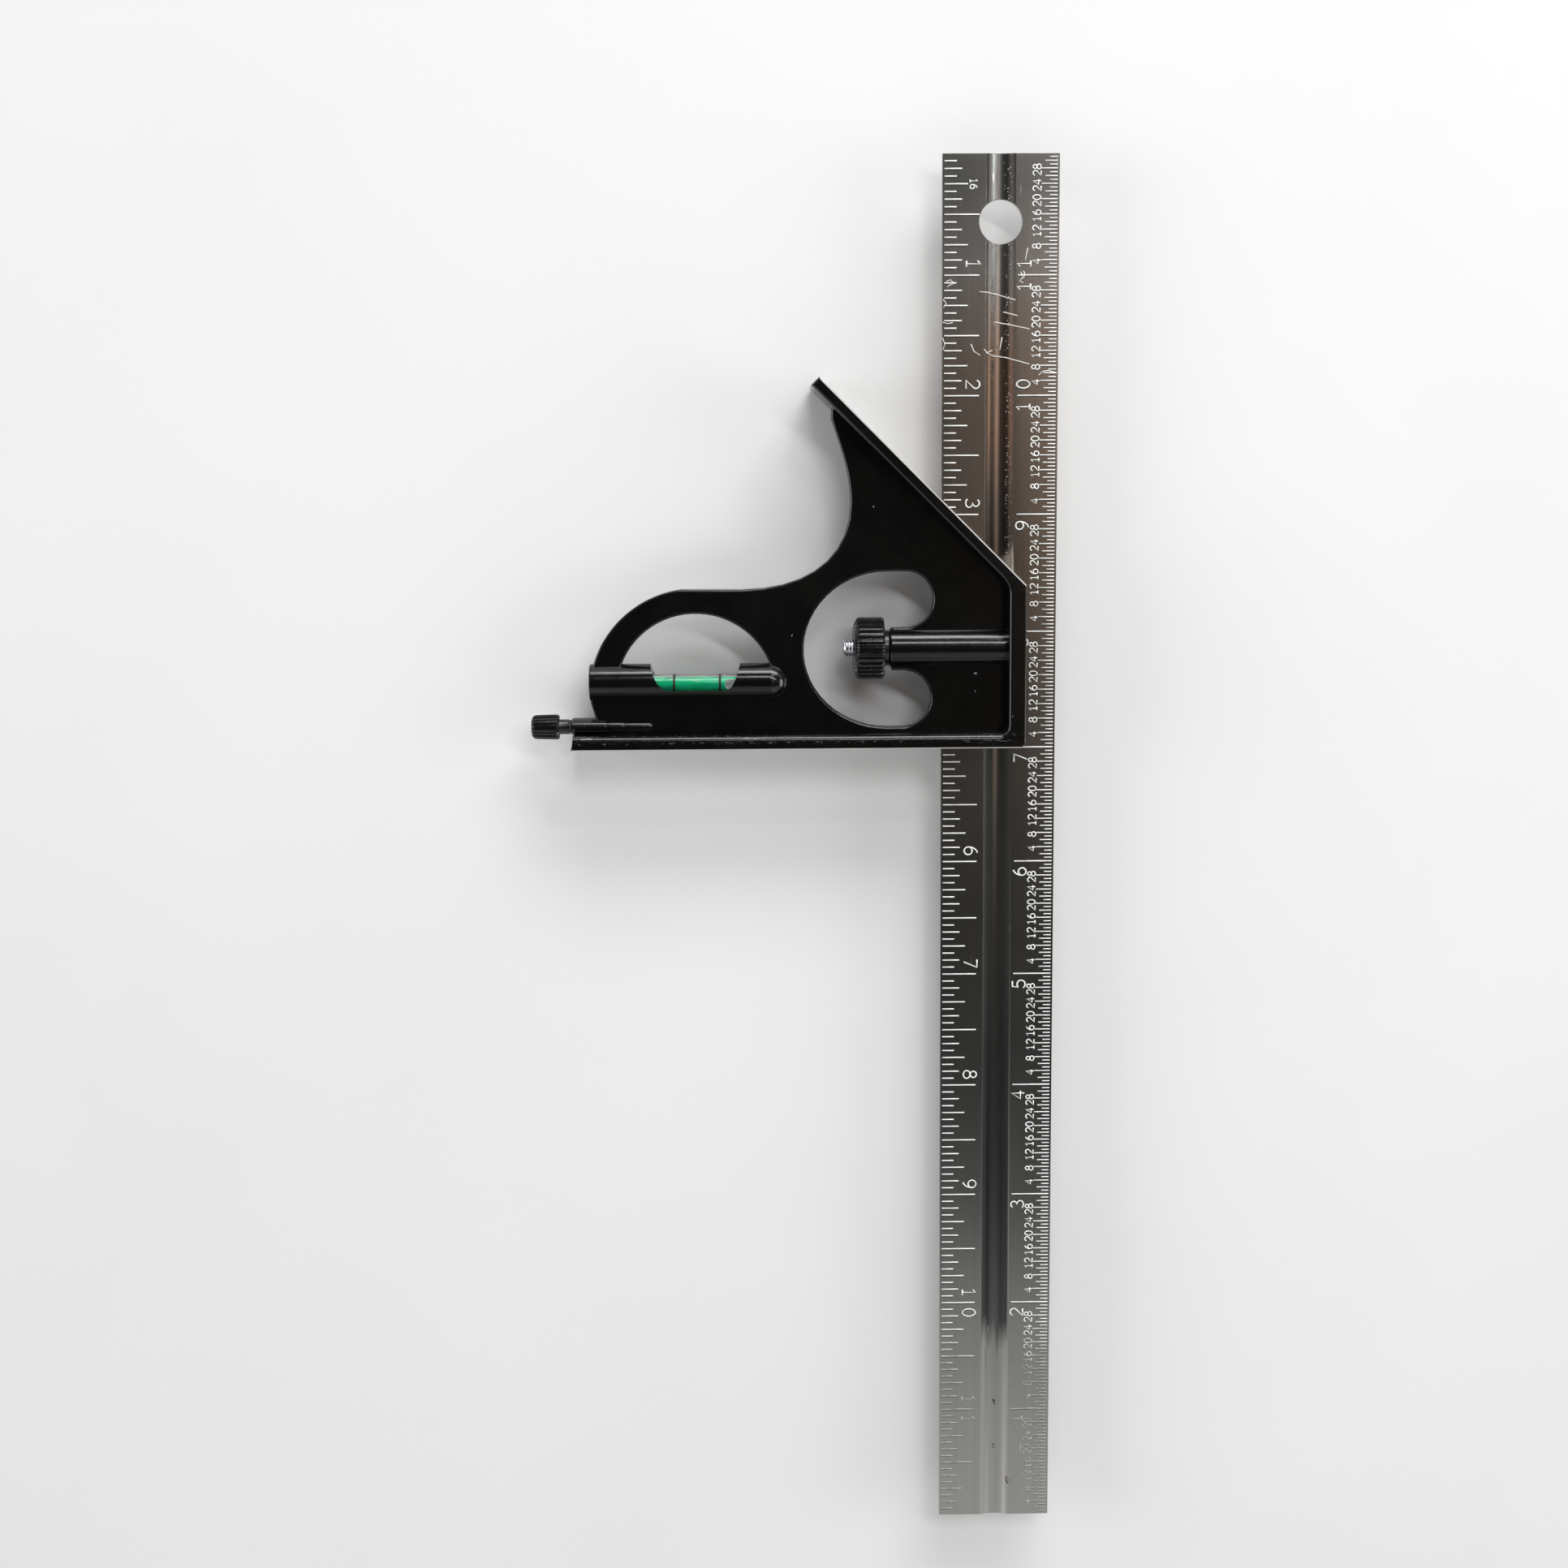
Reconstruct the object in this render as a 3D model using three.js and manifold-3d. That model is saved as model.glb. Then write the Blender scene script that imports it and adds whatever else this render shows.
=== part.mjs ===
// A 12 inch combination square: a grooved steel blade that slides through a cast head,
// the knurled nut and hooked bolt that clamp it, a spirit vial and a scriber.
//
// Everything is modelled in head coordinates, in millimetres: x = 0 on the blade's
// centreline, y = 0 on the 90 degree face, z = 0 on the head's middle plane. The blade's
// grooved face looks to +z. The group at the end moves this to the part's own origin.
import * as THREE from 'three';
import { mergeVertices } from 'three/addons/utils/BufferGeometryUtils.js';
import Module from 'manifold-3d';

const wasm = await Module();
wasm.setup();

// ---- Driving dimensions -------------------------------------------------------------

const HEAD_DEPTH = 16; // width of the 90 and 45 degree faces, front to back

const BLADE = {
  length: 304.8,
  width: 25,
  thickness: 1.6,
  bottomY: -178.4,
  grooveHalfWidth: 3.2,
  grooveDepth: 0.7,
  holeRadius: 4.65,
  holeFromTop: 14.2,
};

const SQUARE_FLANGE = { leftX: -92.7, leftInnerX: -92.1, thickness: 3.1 };
const RIM = { outerX: 5.3, innerX: 1.6, cornerRadius: 2 };
// The mitre face is the line x + y = mitre.sum.
const MITRE = { sum: 40.4, thickness: 2.45, tipX: -39.1 };

// The web's free edge runs from under the mitre flange's tip down through a narrow neck,
// round into a saddle and over the shoulder to its foot on the square flange.
const WEB = {
  thickness: 4,
  top: [-36.4, 70.8],
  neck: [-32.3, 53],
  saddle: [-56, 34.4],
  foot: [[-89.2, 10], [-88, 6]],
};
const SHOULDER = { centre: [-66.2, 11.3], radius: 23.4, startDeg: 97, endDeg: 163 };

const SLOT = { leftX: -12.55, clearance: 0.05 };

const FINGER_HOLE = {
  centre: [-24.3, 21.15],
  radii: [18.3, 16.95],
  upperLobe: { centre: [-20.4, 32], radius: 6.1 },
  lowerLobe: { centre: [-21, 10.4], radius: 6.2 },
  tongueX: -23.4,
};
const VIAL_HOLE = { centre: [-66.2, 11.8], radius: 17.4, chordY: 18.1 };

const BARREL = { axisY: 14.2, radius: 4.15, leftX: -89.4, rightX: -49.95 };
const VIAL = {
  axisY: 13.8,
  leftX: -80.9,
  rightX: -50.9,
  radius: 2.1,
  wall: 0.5,
  boreRadius: 2.7,
  lineSpacing: 10,
  bubbleLeftX: -60.2,
  bubbleRadius: 1.15,
};
const WINDOW = { topLeftX: -76.2, topRightX: -56.4, floorLeftX: -72.3, floorRightX: -59.5, floorY: 12.6 };

const CLAMP = {
  axisY: 21.4,
  bossRadius: 4.4,
  bossLeftX: -23.9,
  shoulderX: -22,
  boreRadius: 3.05,
  shankRadius: 3,
  shankLeftX: -16.4,
  shankRightX: -13.8,
  armRightX: 2.2,
  stemRadius: 2,
  stemLeftX: -34,
  stemHoleRadius: 2.2,
};
const NUT = { leftX: -31.8, rightX: -24, radius: 6.8, teeth: 30, toothDepth: 0.45, collarRadius: 3.9 };
const SPRING = { turns: 4.5, wireRadius: 0.3, coilRadius: 2.62 };

const SCRIBER = {
  axisY: 4.6,
  knobLeftX: -102.3,
  knobRightX: -96.2,
  knobRadius: 2.75,
  teeth: 18,
  toothDepth: 0.28,
  neckRadius: 1.65,
  needleRadius: 0.8,
  needleLeftX: -99.6,
  needleTipX: -63,
  bossLeftX: -93.4,
  bushRadius: 1.25,
  bushRightX: -86,
};

const bladeTopY = BLADE.bottomY + BLADE.length;
const bladeFrontZ = BLADE.thickness / 2;
const slotHalf = BLADE.thickness / 2 + SLOT.clearance;

// ---- Helpers ------------------------------------------------------------------------

// A closed three.js geometry as a manifold solid.
function solidOf(geometry) {
  geometry.deleteAttribute('normal');
  geometry.deleteAttribute('uv');
  const merged = mergeVertices(geometry, 1e-5);
  const index = merged.index.array;
  const corners = [];
  for (let i = 0; i < index.length; i += 3) {
    const [a, b, c] = [index[i], index[i + 1], index[i + 2]];
    if (a !== b && b !== c && c !== a) {
      corners.push(a, b, c);
    }
  }
  const mesh = new wasm.Mesh({
    numProp: 3,
    vertProperties: new Float32Array(merged.attributes.position.array),
    triVerts: new Uint32Array(corners),
  });
  return new wasm.Manifold(mesh);
}

// A manifold solid as a named mesh with its own material.
function meshOf(name, solid, color, roughness, metalness) {
  const { vertProperties, triVerts } = solid.getMesh();
  const geometry = new THREE.BufferGeometry();
  geometry.setAttribute('position', new THREE.BufferAttribute(vertProperties, 3));
  geometry.setIndex(new THREE.BufferAttribute(triVerts, 1));
  geometry.computeVertexNormals();
  const material = new THREE.MeshStandardMaterial({ color, roughness, metalness });
  const mesh = new THREE.Mesh(geometry, material);
  mesh.name = name;
  return mesh;
}

// A box between two corners.
function box(low, high) {
  const size = high.map((value, i) => value - low[i]);
  const geometry = new THREE.BoxGeometry(...size);
  geometry.translate(...low.map((value, i) => value + size[i] / 2));
  return solidOf(geometry);
}

// A shape in the x, y plane, extruded evenly about z = 0.
function plate(shape, thickness, curveSegments = 24) {
  const geometry = new THREE.ExtrudeGeometry(shape, {
    depth: thickness,
    bevelEnabled: false,
    curveSegments,
  });
  geometry.translate(0, 0, -thickness / 2);
  return solidOf(geometry);
}

// A body turned about a line along x, from [radius, x] profile points.
function turned(profile, axisY, segments, axisZ = 0) {
  const points = profile.map(([radius, x]) => new THREE.Vector2(radius, x));
  const geometry = new THREE.LatheGeometry(points, segments);
  geometry.rotateZ(-Math.PI / 2);
  geometry.translate(0, axisY, axisZ);
  const solid = solidOf(geometry);
  if (solid.volume() > 0) {
    return solid;
  }
  const flipped = new THREE.LatheGeometry([...points].reverse(), segments);
  flipped.rotateZ(-Math.PI / 2);
  flipped.translate(0, axisY, axisZ);
  return solidOf(flipped);
}

// A round bar along x.
function bar(radius, leftX, rightX, axisY, segments = 32) {
  return turned([[0, leftX], [radius, leftX], [radius, rightX], [0, rightX]], axisY, segments);
}

// A ring along x.
function ring(innerRadius, outerRadius, leftX, rightX, axisY, segments = 32) {
  const profile = [
    [innerRadius, leftX],
    [outerRadius, leftX],
    [outerRadius, rightX],
    [innerRadius, rightX],
    [innerRadius, leftX],
  ];
  return turned(profile, axisY, segments);
}

// A straight-knurled bar along x: each tooth has a narrow crest and a narrow root.
function knurledBar(radius, depth, teeth, leftX, rightX, axisY) {
  const shape = new THREE.Shape();
  const pitch = (2 * Math.PI) / teeth;
  const crestShare = 0.3;
  const rootShare = 0.2;
  for (let i = 0; i < teeth; i += 1) {
    const corners = [
      [radius, -crestShare / 2],
      [radius, crestShare / 2],
      [radius - depth, 0.5 - rootShare / 2],
      [radius - depth, 0.5 + rootShare / 2],
    ];
    for (const [r, share] of corners) {
      const angle = (i + share) * pitch;
      const method = i === 0 && share < 0 ? 'moveTo' : 'lineTo';
      shape[method](r * Math.cos(angle), r * Math.sin(angle));
    }
  }
  const geometry = new THREE.ExtrudeGeometry(shape, {
    depth: rightX - leftX,
    bevelEnabled: false,
  });
  geometry.rotateY(Math.PI / 2);
  geometry.translate(leftX, axisY, 0);
  return solidOf(geometry);
}

// ---- Head ---------------------------------------------------------------------------

// The 90 degree flange, the right rim and the 45 degree flange, in one bent strip.
function flangeStrip() {
  const across = MITRE.thickness * Math.SQRT2;
  const innerSum = MITRE.sum - across;
  const tipY = MITRE.sum - MITRE.tipX;
  const floorY = SQUARE_FLANGE.thickness;
  const r = RIM.cornerRadius;
  const strip = new THREE.Shape();
  strip.moveTo(SQUARE_FLANGE.leftX, 0);
  strip.lineTo(RIM.outerX - r, 0);
  strip.absarc(RIM.outerX - r, r, r, -Math.PI / 2, 0, false);
  strip.lineTo(RIM.outerX, MITRE.sum - RIM.outerX);
  strip.lineTo(MITRE.tipX, tipY);
  strip.lineTo(MITRE.tipX - across / 2, tipY - across / 2);
  strip.lineTo(RIM.innerX - r, innerSum - RIM.innerX + r);
  strip.quadraticCurveTo(RIM.innerX, innerSum - RIM.innerX, RIM.innerX, innerSum - RIM.innerX - r);
  strip.lineTo(RIM.innerX, floorY + r);
  strip.absarc(RIM.innerX - r, floorY + r, r, 0, -Math.PI / 2, true);
  strip.lineTo(SQUARE_FLANGE.leftInnerX, floorY);
  return plate(strip, HEAD_DEPTH, 8);
}

// The thin web between the flanges, with the finger hole and the hole above the vial.
function web() {
  const midSum = MITRE.sum - MITRE.thickness / Math.SQRT2;
  const rimMidX = (RIM.innerX + RIM.outerX) / 2;
  const flangeMidY = SQUARE_FLANGE.thickness / 2;
  const [topX, topY] = WEB.top;
  const [neckX, neckY] = WEB.neck;
  const [saddleX, saddleY] = WEB.saddle;
  const [footTop, footLow] = WEB.foot;
  const startAngle = THREE.MathUtils.degToRad(SHOULDER.startDeg);
  const endAngle = THREE.MathUtils.degToRad(SHOULDER.endDeg);
  const outline = new THREE.Shape();
  outline.moveTo(footLow[0], flangeMidY);
  outline.lineTo(rimMidX, flangeMidY);
  outline.lineTo(rimMidX, midSum - rimMidX);
  outline.lineTo(topX + 1, midSum - topX - 1);
  outline.lineTo(topX, midSum - topX - 1.8);
  outline.lineTo(topX, topY);
  outline.bezierCurveTo(topX + 2.2, topY - 6.2, neckX, neckY + 6, neckX, neckY);
  outline.bezierCurveTo(neckX, neckY - 11.6, saddleX + 14.7, saddleY, saddleX, saddleY);
  outline.absarc(...SHOULDER.centre, SHOULDER.radius, startAngle, endAngle, false);
  outline.lineTo(...footTop);
  outline.lineTo(...footLow);

  const finger = new THREE.Path();
  const { centre, radii, upperLobe, lowerLobe, tongueX } = FINGER_HOLE;
  const quarter = Math.PI / 2;
  finger.moveTo(tongueX, upperLobe.centre[1] - upperLobe.radius);
  finger.absarc(...upperLobe.centre, upperLobe.radius, -quarter, quarter, false);
  finger.absellipse(...centre, ...radii, quarter, 3 * quarter, false, 0);
  finger.absarc(...lowerLobe.centre, lowerLobe.radius, -quarter, quarter, false);
  finger.lineTo(tongueX, lowerLobe.centre[1] + lowerLobe.radius);
  outline.holes.push(finger);

  const overVial = new THREE.Path();
  const lift = VIAL_HOLE.chordY - VIAL_HOLE.centre[1];
  const rise = Math.asin(lift / VIAL_HOLE.radius);
  const halfChord = VIAL_HOLE.radius * Math.cos(rise);
  overVial.moveTo(VIAL_HOLE.centre[0] - halfChord, BARREL.axisY);
  overVial.lineTo(VIAL_HOLE.centre[0] + halfChord, BARREL.axisY);
  overVial.absarc(...VIAL_HOLE.centre, VIAL_HOLE.radius, rise, Math.PI - rise, false);
  outline.holes.push(overVial);
  return plate(outline, WEB.thickness, 20);
}

// The round barrel that holds the vial, flat at its left end and domed at its right.
function vialBarrel() {
  const profile = [[0, BARREL.leftX], [BARREL.radius, BARREL.leftX]];
  const domeSteps = 7;
  for (let i = 0; i < domeSteps; i += 1) {
    const angle = (i / domeSteps) * (Math.PI / 2);
    profile.push([BARREL.radius * Math.cos(angle), BARREL.rightX + BARREL.radius * Math.sin(angle)]);
  }
  profile.push([0, BARREL.rightX + BARREL.radius]);
  return turned(profile, BARREL.axisY, 36);
}

// The window over the vial: open to the top, the front and the back.
function windowCut() {
  const clearY = BARREL.axisY + BARREL.radius + 0.4;
  const shape = new THREE.Shape();
  shape.moveTo(WINDOW.floorLeftX, WINDOW.floorY);
  shape.lineTo(WINDOW.floorRightX, WINDOW.floorY);
  shape.quadraticCurveTo(WINDOW.topRightX - 0.9, WINDOW.floorY + 0.8, WINDOW.topRightX, clearY);
  shape.lineTo(WINDOW.topLeftX, clearY);
  shape.quadraticCurveTo(WINDOW.topLeftX + 1.1, WINDOW.floorY + 0.8, WINDOW.floorLeftX, WINDOW.floorY);
  return plate(shape, 2 * BARREL.radius + 2, 6);
}

// The boss round the scriber's hole, oval in section, fading into the web in three steps.
function scriberBoss() {
  const steps = [
    { rightX: -85.7, radius: 1.95 },
    { rightX: -81.8, radius: 1.75 },
    { rightX: -75.6, radius: 1.55 },
  ];
  const ovalStretch = 1.5;
  let boss = null;
  for (const { rightX, radius } of steps) {
    const geometry = new THREE.CylinderGeometry(radius, radius, rightX - SCRIBER.bossLeftX, 28);
    geometry.rotateZ(Math.PI / 2);
    geometry.scale(1, 1, ovalStretch);
    geometry.translate((rightX + SCRIBER.bossLeftX) / 2, SCRIBER.axisY, 0);
    const step = solidOf(geometry);
    boss = boss ? boss.add(step) : step;
  }
  return boss;
}

function headCasting() {
  const clampBoss = bar(CLAMP.bossRadius, CLAMP.bossLeftX, RIM.innerX + 1, CLAMP.axisY, 36);
  const body = flangeStrip().add(web()).add(vialBarrel()).add(clampBoss).add(scriberBoss());

  const past = 1;
  const bladeSlot = box(
    [SLOT.leftX, -past, -slotHalf],
    [RIM.outerX + past, MITRE.sum - SLOT.leftX + past, slotHalf],
  );
  const boltBore = bar(CLAMP.boreRadius, CLAMP.shoulderX, RIM.outerX + past, CLAMP.axisY);
  const stemHole = bar(CLAMP.stemHoleRadius, CLAMP.bossLeftX - past, CLAMP.shoulderX + past, CLAMP.axisY, 28);
  const vialBore = bar(VIAL.boreRadius, BARREL.leftX - past, VIAL.rightX + 0.6, VIAL.axisY);
  const bushHole = bar(SCRIBER.bushRadius + 0.05, SCRIBER.bossLeftX - past, SCRIBER.bushRightX, SCRIBER.axisY, 24);
  const needleHole = bar(SCRIBER.needleRadius + 0.25, SCRIBER.bushRightX - past,
    SCRIBER.needleTipX + past, SCRIBER.axisY, 20);
  return body
    .subtract(bladeSlot)
    .subtract(boltBore)
    .subtract(stemHole)
    .subtract(windowCut())
    .subtract(vialBore)
    .subtract(bushHole)
    .subtract(needleHole);
}

// ---- Blade --------------------------------------------------------------------------

// Depth of the blade's groove below the front face at a distance from the centreline.
function grooveDepthAt(x) {
  const { grooveHalfWidth: half, grooveDepth: depth } = BLADE;
  const radius = (half * half + depth * depth) / (2 * depth);
  return depth - radius + Math.sqrt(radius * radius - x * x);
}

function blade() {
  const halfWidth = BLADE.width / 2;
  const section = new THREE.Shape();
  section.moveTo(-halfWidth, -bladeFrontZ);
  section.lineTo(halfWidth, -bladeFrontZ);
  section.lineTo(halfWidth, bladeFrontZ);
  const grooveSteps = 10;
  for (let i = 0; i <= grooveSteps; i += 1) {
    const x = BLADE.grooveHalfWidth * (1 - (2 * i) / grooveSteps);
    section.lineTo(x, bladeFrontZ - grooveDepthAt(x));
  }
  section.lineTo(-halfWidth, bladeFrontZ);
  const geometry = new THREE.ExtrudeGeometry(section, { depth: BLADE.length, bevelEnabled: false });
  geometry.rotateX(Math.PI / 2);
  geometry.translate(0, bladeTopY, 0);

  const drill = new THREE.CylinderGeometry(BLADE.holeRadius, BLADE.holeRadius, 4, 40);
  drill.rotateX(Math.PI / 2);
  drill.translate(0, bladeTopY - BLADE.holeFromTop, 0);
  return solidOf(geometry).subtract(solidOf(drill));
}

// ---- Clamp --------------------------------------------------------------------------

// The bolt: a threaded stem, a round shank and a half-round arm over the blade's face.
// Its lug drops into the groove and pulls the blade against the slot's left end.
function clampBolt() {
  const y = CLAMP.axisY;
  const chamfer = 0.5;
  const stem = turned([
    [0, CLAMP.stemLeftX],
    [CLAMP.stemRadius - chamfer, CLAMP.stemLeftX],
    [CLAMP.stemRadius, CLAMP.stemLeftX + chamfer],
    [CLAMP.stemRadius, CLAMP.shankLeftX + chamfer],
    [0, CLAMP.shankLeftX + chamfer],
  ], y, 28);
  const shank = bar(CLAMP.shankRadius, CLAMP.shankLeftX, CLAMP.armRightX, y);
  const armUnderside = slotHalf + 0.1;
  const bladeSpace = box(
    [CLAMP.shankRightX, y - 5, -5],
    [CLAMP.armRightX + 1, y + 5, armUnderside],
  );

  const lugShape = new THREE.Shape();
  const clearance = 0.08;
  lugShape.moveTo(-2.6, armUnderside + 0.4);
  for (const [x, widestX] of [[-2.4, -2.4], [-1.5, -1.5], [-0.5, 0.5], [0.6, 1.65]]) {
    lugShape.lineTo(x, bladeFrontZ - grooveDepthAt(widestX) + clearance);
  }
  lugShape.lineTo(0.8, armUnderside + 0.4);
  const lugWidth = 4.4;
  const lug = new THREE.ExtrudeGeometry(lugShape, { depth: lugWidth, bevelEnabled: false });
  lug.rotateX(Math.PI / 2);
  lug.translate(0, y + lugWidth / 2, 0);
  return shank.subtract(bladeSpace).add(solidOf(lug)).add(stem);
}

// The compression spring round the stem, between the boss's inner shoulder and the shank.
function clampSpring() {
  const gap = 0.05;
  const startX = CLAMP.shoulderX + gap + SPRING.wireRadius;
  const endX = CLAMP.shankLeftX - gap - SPRING.wireRadius;
  const helix = new THREE.Curve();
  helix.getPoint = (t, target = new THREE.Vector3()) => {
    const angle = t * SPRING.turns * 2 * Math.PI;
    return target.set(
      startX + t * (endX - startX),
      CLAMP.axisY + SPRING.coilRadius * Math.cos(angle),
      SPRING.coilRadius * Math.sin(angle),
    );
  };
  const wire = new THREE.Shape();
  wire.absarc(0, 0, SPRING.wireRadius, 0, 2 * Math.PI, false);
  const geometry = new THREE.ExtrudeGeometry(wire, {
    extrudePath: helix,
    steps: Math.round(SPRING.turns * 16),
    curveSegments: 6,
    bevelEnabled: false,
  });
  return solidOf(geometry);
}

function clampNut() {
  const knurled = knurledBar(NUT.radius, NUT.toothDepth, NUT.teeth, NUT.leftX, NUT.rightX, CLAMP.axisY);
  const envelope = turned([
    [0, NUT.leftX],
    [4.7, NUT.leftX],
    [NUT.radius - 0.5, NUT.leftX + 0.7],
    [NUT.radius + 0.1, NUT.leftX + 1.2],
    [NUT.radius + 0.1, NUT.rightX - 1.5],
    [NUT.radius - 0.5, NUT.rightX - 1],
    [NUT.collarRadius, NUT.rightX - 0.8],
    [NUT.collarRadius, NUT.rightX],
    [0, NUT.rightX],
  ], CLAMP.axisY, 36);
  const thread = bar(CLAMP.stemRadius + 0.06, NUT.leftX - 1, NUT.rightX + 1, CLAMP.axisY, 28);
  return knurled.intersect(envelope).subtract(thread);
}

// ---- Vial ---------------------------------------------------------------------------

const tubeBore = VIAL.radius - VIAL.wall;
const tubeEndThickness = 1;
const capSpigot = 1.2;

// The clear tube, closed at its right end.
function vialTube() {
  const innerRightX = VIAL.rightX - tubeEndThickness;
  return turned([
    [0, innerRightX],
    [tubeBore, innerRightX],
    [tubeBore, VIAL.leftX],
    [VIAL.radius, VIAL.leftX],
    [VIAL.radius, VIAL.rightX - 0.4],
    [VIAL.radius - 0.4, VIAL.rightX],
    [0, VIAL.rightX],
  ], VIAL.axisY, 32);
}

// The cap pressed into the tube's left end.
function vialCap() {
  const gap = 0.03;
  return turned([
    [0, VIAL.leftX - 0.8],
    [VIAL.radius, VIAL.leftX - 0.8],
    [VIAL.radius, VIAL.leftX - gap],
    [tubeBore - gap, VIAL.leftX - gap],
    [tubeBore - gap, VIAL.leftX + capSpigot],
    [0, VIAL.leftX + capSpigot],
  ], VIAL.axisY, 32);
}

// The liquid, hollowed by the bubble that lies against the tube's wall at the right end.
function vialLiquid() {
  const gap = 0.03;
  const leftX = VIAL.leftX + capSpigot + gap;
  const rightX = VIAL.rightX - tubeEndThickness - gap;
  const liquid = bar(tubeBore - gap, leftX, rightX, VIAL.axisY);
  const r = VIAL.bubbleRadius;
  const profile = [[0, VIAL.bubbleLeftX]];
  const roundSteps = 5;
  for (let i = 1; i <= roundSteps; i += 1) {
    const angle = (i / roundSteps) * (Math.PI / 2);
    profile.push([r * Math.sin(angle), VIAL.bubbleLeftX + r * (1 - Math.cos(angle))]);
  }
  profile.push([r, rightX + 1], [0, rightX + 1]);
  const bubbleLift = tubeBore - r + 0.25;
  return liquid.subtract(turned(profile, VIAL.axisY, 24, bubbleLift));
}

function vialLine(side) {
  const middleX = (VIAL.leftX + VIAL.rightX) / 2;
  const x = middleX + (side * VIAL.lineSpacing) / 2;
  const halfWidth = 0.2;
  return ring(VIAL.radius + 0.02, VIAL.radius + 0.14, x - halfWidth, x + halfWidth, VIAL.axisY);
}

function vialBedding(leftX, rightX) {
  return ring(VIAL.radius + 0.05, VIAL.boreRadius - 0.08, leftX, rightX, VIAL.axisY, 28);
}

function barrelPlug() {
  const leftX = BARREL.leftX + 0.4;
  const rim = 0.3;
  const radius = VIAL.boreRadius - 0.06;
  return turned([
    [0, leftX],
    [radius - rim, leftX],
    [radius, leftX + rim],
    [radius, leftX + 1.8],
    [0, leftX + 1.8],
  ], VIAL.axisY, 28);
}

// ---- Scriber ------------------------------------------------------------------------

function scriberKnob() {
  const { knobLeftX: left, knobRightX: right, knobRadius: r, axisY } = SCRIBER;
  const knurled = knurledBar(r, SCRIBER.toothDepth, SCRIBER.teeth, left, right, axisY);
  const envelope = turned([
    [0, left],
    [r - 0.9, left],
    [r - 0.35, left + 0.3],
    [r - 0.1, left + 0.9],
    [r + 0.1, right - 0.7],
    [r - 0.15, right],
    [0, right],
  ], axisY, 28);
  const neck = bar(SCRIBER.neckRadius, right - 0.5, SCRIBER.bossLeftX - 0.6, axisY, 24);
  const socket = bar(SCRIBER.needleRadius + 0.04, SCRIBER.needleLeftX - 0.05, right + 5, axisY, 20);
  return knurled.intersect(envelope).add(neck).subtract(socket);
}

function scriberNeedle() {
  const { needleLeftX, needleTipX, needleRadius: r, axisY } = SCRIBER;
  const pointLength = 6;
  return turned([
    [0, needleLeftX],
    [r, needleLeftX],
    [r, needleTipX - pointLength],
    [0.12, needleTipX - 0.1],
    [0, needleTipX],
  ], axisY, 20);
}

// The friction bush that grips the needle, with a thin collar on the boss's end.
function scriberBush() {
  const { bossLeftX, bushRadius, bushRightX, needleRadius, axisY } = SCRIBER;
  const bore = needleRadius + 0.05;
  const collar = { radius: bushRadius + 0.3, thickness: 0.45 };
  const seat = bossLeftX - 0.03;
  return turned([
    [bore, seat - collar.thickness],
    [collar.radius, seat - collar.thickness],
    [collar.radius, seat],
    [bushRadius, seat],
    [bushRadius, bushRightX - 0.1],
    [bore, bushRightX - 0.1],
    [bore, seat - collar.thickness],
  ], axisY, 24);
}

// ---- Assembly -----------------------------------------------------------------------

const BLACK = [0x0b0b0c, 0.45, 0.1];
const STEEL = [0x8d8b88, 0.35, 0.9];
const PLATED = [0xb8b8ba, 0.3, 0.9];
const CLEAR = [0xcfe8dc, 0.05, 0];
const GREEN = [0x0ea866, 0.1, 0];
const PUTTY = [0xd8d6cc, 0.8, 0];

const square = new THREE.Group();
square.add(
  meshOf('head_casting', headCasting(), ...BLACK),
  meshOf('blade', blade(), ...STEEL),
  meshOf('clamp_bolt', clampBolt(), ...PLATED),
  meshOf('clamp_spring', clampSpring(), ...PLATED),
  meshOf('clamp_nut', clampNut(), ...BLACK),
  meshOf('vial_tube', vialTube(), ...CLEAR),
  meshOf('vial_cap', vialCap(), ...CLEAR),
  meshOf('vial_liquid', vialLiquid(), ...GREEN),
  meshOf('vial_line_left', vialLine(-1), ...BLACK),
  meshOf('vial_line_right', vialLine(1), ...BLACK),
  meshOf('vial_bedding_left', vialBedding(VIAL.leftX + 0.3, WINDOW.topLeftX - 0.9), ...PUTTY),
  meshOf('vial_bedding_right', vialBedding(WINDOW.topRightX + 0.8, VIAL.rightX - 0.3), ...PUTTY),
  meshOf('barrel_plug', barrelPlug(), ...BLACK),
  meshOf('scriber_knob', scriberKnob(), ...BLACK),
  meshOf('scriber_needle', scriberNeedle(), ...STEEL),
  meshOf('scriber_bush', scriberBush(), ...BLACK),
);

// The part's own origin: the middle of the whole tool's footprint, lying on its back.
const leftmostX = SCRIBER.knobLeftX;
const rightmostX = BLADE.width / 2;
square.position.set(
  -(leftmostX + rightmostX) / 2,
  -(BLADE.bottomY + bladeTopY) / 2,
  HEAD_DEPTH / 2,
);

export default square;
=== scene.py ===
"""A 12 inch combination square, lying on its back: looks and fine shapes around the CAD frame."""
import math

import bpy
from mathutils import Matrix, Vector


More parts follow.
